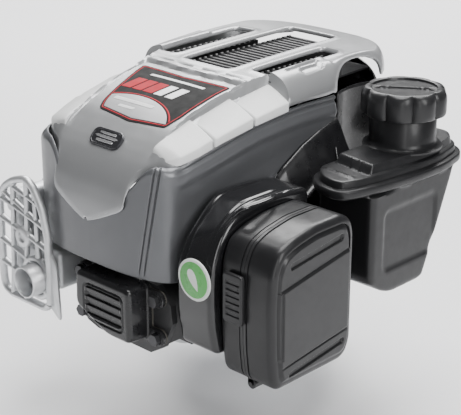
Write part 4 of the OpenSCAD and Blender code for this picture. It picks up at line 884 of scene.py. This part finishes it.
# ---- air cleaner ----
# Two moulded black halves: a base on the carburetor's inlet and a hinged cover with a domed face.
# A bar latch at the front seam and a pinned hinge below hold the cover.
cleaner_edge = [(-180, 44), (-186, 52), (-189, 77), (-190, 121), (-188, 150), (-180, 166), (-164, 173),
                (-136, 178), (-101, 178), (-90, 172), (-86, 160), (-86, 60), (-92, 48), (-100, 44)]
cleaner_ring = polar_ring(round_corners(cleaner_edge, 7.0), (-138.0, 111.0), 440)
cleaner_paint = finish("air_cleaner_charcoal", (0.012, 0.012, 0.013), 0.0, 0.36, 0.45, 0.03, coat=0.08,
                       wear=0.12)
base_steps = face_steps(137.3, 3.0, 12)[::-1] + [(137.3, 3.0, 1.0), (159.4, 3.0, 1.0), (160.0, 2.4, 1.0),
                                                 (160.0, 0.0, 1.0), (157.4, 0.0, 1.0), (157.2, 0.9, 1.0),
                                                 (155.8, 0.9, 1.0), (155.6, 0.3, 1.0)]
base_steps += [(x, 0.3, 1.0) for x in (150, 145, 141)] + edge_steps(134.3, 3.5, -1.0, 0.3, 6)
base_steps += face_steps(134.3, 3.8, 12)


def on_side(rings):
    """Rings drawn in Y and Z with a height along X, as points."""
    return np.stack([rings[..., 2], rings[..., 0], rings[..., 1]], -1)


dress(loft("air_cleaner_base_shell", on_side(levels(cleaner_ring, base_steps)), 45.0), cleaner_paint,
      "engine", "cleaner_black", "air_cleaner_base")
cover_steps = face_steps(184.0, 6.0, 12)[::-1] + [(184.0, 6.0, 1.0), (180.0, 3.0, 1.0), (161.0, 3.0, 1.0),
                                                  (160.3, 2.4, 1.0), (160.3, 0.2, 1.0), (163.2, 0.0, 1.0),
                                                  (163.4, 0.9, 1.0), (164.8, 0.9, 1.0), (165.0, 0.1, 1.0)]
cover_steps += [(x, 0.1, 1.0) for x in (170.0, 176.0, 181.0)] + edge_steps(191.5, 6.5, 1.0, 0.1, 14)
rim_inset = cover_steps[-1][1]
cover_steps += face_steps(191.5, rim_inset, 130)
cover_rings = levels(cleaner_ring, cover_steps)
fy, fz = cover_rings[..., 0], cover_rings[..., 1]
share = np.array([s[2] for s in cover_steps])[:, None] + fy * 0
on_front_face = (np.arange(len(cover_steps)) >= len(cover_steps) - 129)[:, None]
border = (1 - share) * 62.0
crease = fz - (139.0 + (fy + 138.0) * 0.16)
slope = (fy + 138.0) * 0.12
relief = 2.6 * ramp(border / 5.0) - 1.7 * ramp(crease / 1.6)
relief += groove(crease - 0.6, 1.6, 0.7)
relief += -1.9 * ramp(-box_distance(fy, fz - slope, (-168.0, 152.0), (-102.0, 158.5), 2.7) / 1.0)
relief += -1.9 * ramp(-box_distance(fy, fz - slope, (-170.0, 57.5), (-100.0, 63.0), 2.4) / 1.0)
front_recess = box_distance(fy, fz, (-200.0, 72.0), (-170.0, 132.0), 6.0)
relief += -1.7 * ramp((-176.0 - fy) / 1.4) * ramp(-front_recess / 1.4)
relief += groove(fz - slope - 69.5, 1.3, 0.8) * ramp(border / 5.0)
cover_rings[..., 2] = np.minimum(cover_rings[..., 2] + np.where(on_front_face, relief, 0), 196.8)
dress(loft("air_cleaner_cover_shell", on_side(cover_rings), 45.0), cleaner_paint, "cleaner_door",
      "cleaner_black", "air_cleaner_cover")


hinge_x, hinge_z = 158, 38


def knuckles(starts, length, tail_x):
    """Hinge barrels around the pin, each with a web up to the shell."""
    barrel = round_ring((hinge_x, hinge_z), 4.5, 40)
    web = np.array([(tail_x[0], 0), (tail_x[1], 0), (tail_x[1], 9), (tail_x[0], 9)], float) + [0, hinge_z]
    return [[at_depth(ring, end) for end in (y, y + length)] for y in starts for ring in (barrel, web)]


dress(merge("base_knuckles", knuckles((-176, -112), 12, (153.5, 159.5)), 50.0), cleaner_paint, "engine",
      "cleaner_black", "air_cleaner_base")
dress(merge("cover_knuckles", knuckles((-163, -126), 13, (160.6, 165.5)), 50.0), cleaner_paint,
      "cleaner_door", "cleaner_black", "air_cleaner_cover")
hinge_pin = [at_depth(round_ring((hinge_x, hinge_z), 2, 24), y) for y in (-177.5, -99.0)]
dress(merge("cleaner_hinge_pin", [hinge_pin], 50.0), cleaner_paint, "engine", "cleaner_black",
      "air_cleaner_base")
latch_outline = polar_ring(round_corners([(141.5, 98), (163.5, 98), (163.5, 142), (141.5, 142)], 4.0),
                           (152.5, 120.0), 160)
latch_steps = [(190.6, 1.0, 1.0), (191.2, 0.0, 1.0), (193.2, 0.0, 1.0)] + edge_steps(194.6, 1.4, 1.0, 0.0, 5)
latch_steps += face_steps(194.6, 1.4, 60)
latch_rings = levels(latch_outline, latch_steps)
ridge = 1.0 * ramp(0.4 + 1.5 * np.cos(latch_rings[..., 1] * 2 * math.pi / 5.6)) * \
    ramp(-box_distance(latch_rings[..., 0], latch_rings[..., 1], (145.0, 102.0), (161.0, 138.0), 2.0) / 1.0)
latch_rings[..., 2] -= np.where(latch_rings[..., 2] > 194.5, ridge, 0)
dress(loft("latch_bar", on_front(latch_rings), 45.0), cleaner_paint, "cleaner_latch", "cleaner_black",
      "air_cleaner_latch")

# ---- muffler and guard ----
# Pressed and welded muffler of blasted sheet steel, with a guard of flat bars bolted in front of it.
# The outlet tube passes through the guard's ring.
steel_paint = finish("blasted_steel", (0.63, 0.64, 0.65), 0.75, 0.44, 0.6, 0.10, drift=0.05, scatter=0.08,
                     wear=0.25)


def seam_box(outline, centre, y_back, y_front):
    """Muffler half shells: a box with rounded ends and a rolled seam around its middle."""
    ring = polar_ring(round_corners(outline, 9.0), centre, 260)
    middle = (y_back + y_front) / 2
    steps = face_steps(y_back, 8.0, 10)[::-1] + [(h, i + 1.5, k) for h, i, k in
                                                 edge_steps(y_back, 6.5, -1.0, 0.0, 8)][::-1]
    steps += [(middle - 2.5, 1.5, 1.0), (middle - 2.0, 0.0, 1.0), (middle + 2.0, 0.0, 1.0),
              (middle + 2.5, 1.5, 1.0)]
    steps += [(h, i + 1.5, k) for h, i, k in edge_steps(y_front, 6.5, 1.0, 0.0, 8)]
    steps += face_steps(y_front, 8.0, 10)
    return on_front(levels(ring, steps))


muffler_parts = [
    seam_box([(-122, 62), (-101.5, 62), (-101.5, 152), (-122, 152)], (-111.5, 107.0), 128.0, 208.0),
    seam_box([(-121, 62.5), (-54, 62.5), (-54, 104), (-121, 104)], (-88.0, 83.0), 129.0, 206.0)]
tube_turn = np.linspace(0, 2 * math.pi, 72, endpoint=False)


def turned(profile, centre):
    """Rings around a Y axis through centre: profile is (radius, height along -Y)."""
    return [np.column_stack([centre[0] + r * np.cos(tube_turn), np.full(72, -h),
                             centre[1] + r * np.sin(tube_turn)]) for r, h in profile]


muffler_parts.append(turned([(13, 200), (13.0, 231.2), (13.6, 232), (14.4, 232), (15, 231.4), (15, 204)],
                            (-75, 76)))
dress(merge("muffler_shell", muffler_parts, 45.0), steel_paint, "engine", "muffler_steel", "muffler")

# The guard: a rolled frame, slanted cross bars, three uprights, a diagonal, the tube's ring and a boss
frame_path = [(-126.2, 62), (-124, 52.5), (-115, 48.5), (-64, 48.5), (-57.5, 55), (-56.5, 120), (-63.5, 147),
              (-74.5, 164.5), (-84, 170.5), (-102.5, 165), (-117.5, 155.5), (-125.8, 141)]
loop = round_corners(frame_path, 7.0)
loop3 = np.column_stack([loop[:, 0], np.full(len(loop), -215.6), loop[:, 1]])
loop3 = np.vstack([loop3, loop3[:2]])


bars_y = -215.3


def bar(start, end, radius=3.1):
    """Straight guard bar between two places in X and Z, a little thicker at its ends."""
    t = np.linspace(0, 1, 16)[:, None]
    path = np.array([[start[0], bars_y, start[1]]]) * (1 - t) + np.array([[end[0], bars_y, end[1]]]) * t
    return tube(path, radius * (1 + 0.35 * np.abs(2 * t[:, 0] - 1) ** 4), 0.8)


guard_parts = [tube(loop3, 4.0, 0.85)]
for left_z, right_z, right_x in ((80, 64, -57), (102, 84, -57), (124, 108, -57), (144, 129, -59),
                                 (160, 149, -65)):
    guard_parts.append(bar((-126 if left_z < 150 else -112, left_z), (right_x, right_z)))
guard_parts += [bar((-112, 50), (-104, 165), 2.8), bar((-92, 50), (-84, 168), 2.8),
                bar((-72, 97), (-74, 164), 2.6), bar((-118, 150), (-62, 128), 2.4)]
guard_parts.append(turned([(16.2, 212.6), (16.2, 217.2), (17.2, 218.2), (19.8, 218.2), (21, 217.0),
                           (21, 212.6)], (-75, 76)))
guard_parts.append(turned([(10, 212), (10, 217.6), (9, 218.8), (5.4, 218.9), (4.4, 217.0), (0.2, 216.6)],
                          (-92, 112)))
for place in ((-112, 136), (-66, 92)):
    guard_parts.append(turned([(3.6, 208.5), (3.6, 215.0)], place))
tongue = polar_ring(round_corners([(-66, 58), (-44, 40), (-47, 96), (-60, 112)], 6.0), (-56.0, 76.0), 120)
guard_parts.append(on_front(levels(tongue, [(213.0, 0.8, 1.0), (213.6, 0, 1.0), (215.6, 0, 1.0),
                                            (216.2, 0.8, 1.0)])))
dress(merge("muffler_guard_lattice", guard_parts, 50.0), steel_paint, "engine", "muffler_steel",
      "muffler_guard")

# ---- fuel tank ----
# Blow moulded black tank at the right rear. A flanged rim closes its top, a raised deck with a ramp
# carries the stepped neck, and the body tapers down to a flat foot.
tank_paint = finish("tank_charcoal", (0.010, 0.010, 0.011), 0.0, 0.38, 0.5, 0.035, coat=0.06, wear=0.12)
side_front = np.array([(76, -17), (80, -27), (86, -37), (93, -47), (100, -50), (179, -50)], float)
side_back = np.array([(76, 27), (80, 31), (100, 40), (167, 68), (179, 72)], float)
rim_edge = [(117.5, -56), (136, -75), (158, -80), (169, -76), (176, -60), (182, -30), (187, 20), (186, 50),
            (178, 84), (162, 98), (117.5, 98)]
tank_middle = np.array([150.0, 10.0])
rim_ring = polar_ring(round_corners(rim_edge, 12.0), tank_middle, 360)
tank_rings = []
for z in np.concatenate([[76.0, 76.0], 76 + 6 * (1 - np.cos(np.linspace(0.2, 1, 6) * math.pi / 2)),
                         np.linspace(84, 174, 40)]):
    front_y = np.interp(z, side_front[:, 0], side_front[:, 1])
    back_y = np.interp(z, side_back[:, 0], side_back[:, 1])
    foot = float(rolled(np.array(z - 76.0), 6.0))
    outline = round_corners([(118.0 + foot, front_y + foot), (180.5 - foot, front_y + foot),
                             (180.5 - foot, back_y - foot), (118.0 + foot, back_y - foot)], 7.0)
    ring = polar_ring(outline, np.array([149.5, (front_y + back_y) / 2]), 360)
    tank_rings.append(at_height(ring, z))
tank_rings[0] = tank_rings[0] * [0, 0, 1] + [149.5, 5.0, 0]
body_array = np.array(tank_rings)
by, bz = body_array[..., 1], body_array[..., 2]
face_field = box_distance(by, bz, (-34.0, 98.0), (46.0, 160.0), 10.0)
press = 1.6 * ramp(-face_field / 5.0)
body_array[..., 0] -= np.where(body_array[..., 0] > 172, press, 0)
for z, inset in ((176.0, 3.0), (177.4, 1.0), (178.0, 0.4), (179.0, 0.0), (183.4, 0.0), (184.4, 0.4),
                 (185.0, 1.2), (185.0, 4.6), (185.4, 5.2), (190.8, 5.6), (191.6, 6.0), (192.0, 6.9),
                 (192.0, 9.0)):
    body_array = np.concatenate([body_array, at_height(inset_ring(rim_ring, inset), z)[None]])
deck, deck_z = inset_ring(rim_ring, 9.0), 192.0
for k in np.linspace(1, 0, 40)[1:]:
    body_array = np.concatenate([body_array, at_height(tank_middle + (deck - tank_middle) * k, deck_z)[None]])
tx, ty, tz = body_array[..., 0], body_array[..., 1], body_array[..., 2]
on_deck = tz > deck_z - 0.1
inner_rim = -outline_distance(tx, ty, inset_ring(rim_ring, 8.5)[::3])
ramp_line = ty + 40.0 + (tx - 150.0) * 0.15
body_array[..., 2] += np.where(on_deck, 8.0 * ramp(ramp_line / 5.0) * ramp(inner_rim / 2.5), 0)
body_array[..., 2] += np.where(on_deck, 1.4 * ramp(1 - np.abs(ramp_line + 16.0) / 2.2) *
                               ramp(inner_rim / 3.0), 0)
dress(loft("tank_body", body_array, 45.0), tank_paint, "engine", "tank_black", "fuel_tank")
filler_x, filler_y = 148, 32
neck_turn = np.linspace(0, 2 * math.pi, 144, endpoint=False)


def upright(profile, lobes=0, depth=0.0):
    """Rings around the filler's axis: profile is (radius, height, share of the lobes)."""
    rings = []
    for r, z, part in profile:
        wave = depth * part * np.abs(np.sin(neck_turn * lobes / 2)) ** 0.7 if lobes else 0.0
        reach = r - depth * part + wave
        rings.append(np.column_stack([filler_x + reach * np.cos(neck_turn),
                                      filler_y + reach * np.sin(neck_turn), np.full(144, z)]))
    return rings


neck = upright([(22, 198, 0), (22, 243, 0), (25.4, 243, 0), (26, 242.4, 0), (26, 229, 0), (26.6, 227.6, 0),
                (29.2, 227, 0), (30, 226, 0), (30, 206, 0), (30.6, 203, 0), (32.5, 200.8, 0), (36, 199.6, 0),
                (36, 198, 0)])
dress(merge("tank_neck", [neck], 40.0), tank_paint, "engine", "tank_black", "fuel_tank")

# ---- fuel cap ----
# Moulded screw cap with nine grip lobes. Its top is dished, with a raised bar across the dish.
cap_paint = finish("cap_charcoal", (0.013, 0.013, 0.014), 0.0, 0.36, 0.5, 0.035, coat=0.1, wear=0.12)
cap_profile = [(0.0, 246.6, 0), (26.3, 246.6, 0), (26.3, 228.6, 0), (27.0, 228.0, 0), (36.0, 228.0, 0.4),
               (37.6, 228.6, 0.7), (38.4, 230.0, 1), (38.8, 233.0, 1), (38.8, 243.0, 1), (38.4, 246.5, 1),
               (37.2, 249.4, 0.9), (35.2, 251.4, 0.7), (33.0, 252.0, 0.4), (30.4, 252.0, 0),
               (29.4, 251.4, 0), (28.8, 249.6, 0)]
cap_rings = upright(cap_profile, 9, 4.0)
dish_r, dish_z = 28.8, 249.6
cap_array = np.array(cap_rings + upright([(dish_r * k, dish_z, 0) for k in np.linspace(1, 0, 60)[1:]]))
bar_angle = math.radians(35.0)
from_x, from_y = cap_array[..., 0] - filler_x, cap_array[..., 1] - filler_y
along_bar = from_x * math.cos(bar_angle) + from_y * math.sin(bar_angle)
cross_bar = from_y * math.cos(bar_angle) - from_x * math.sin(bar_angle)
bar_field = box_distance(along_bar, cross_bar, (-30.0, -3.2), (30.0, 3.2), 1.0)
in_dish = np.abs(cap_array[..., 2] - dish_z) < 0.1
cap_array[..., 2] += np.where(in_dish, 2.2 * ramp(-bar_field / 1.6), 0)
dress(loft("fuel_cap_shell", cap_array, 40.0), cap_paint, "cap", "tank_black", "fuel_cap")
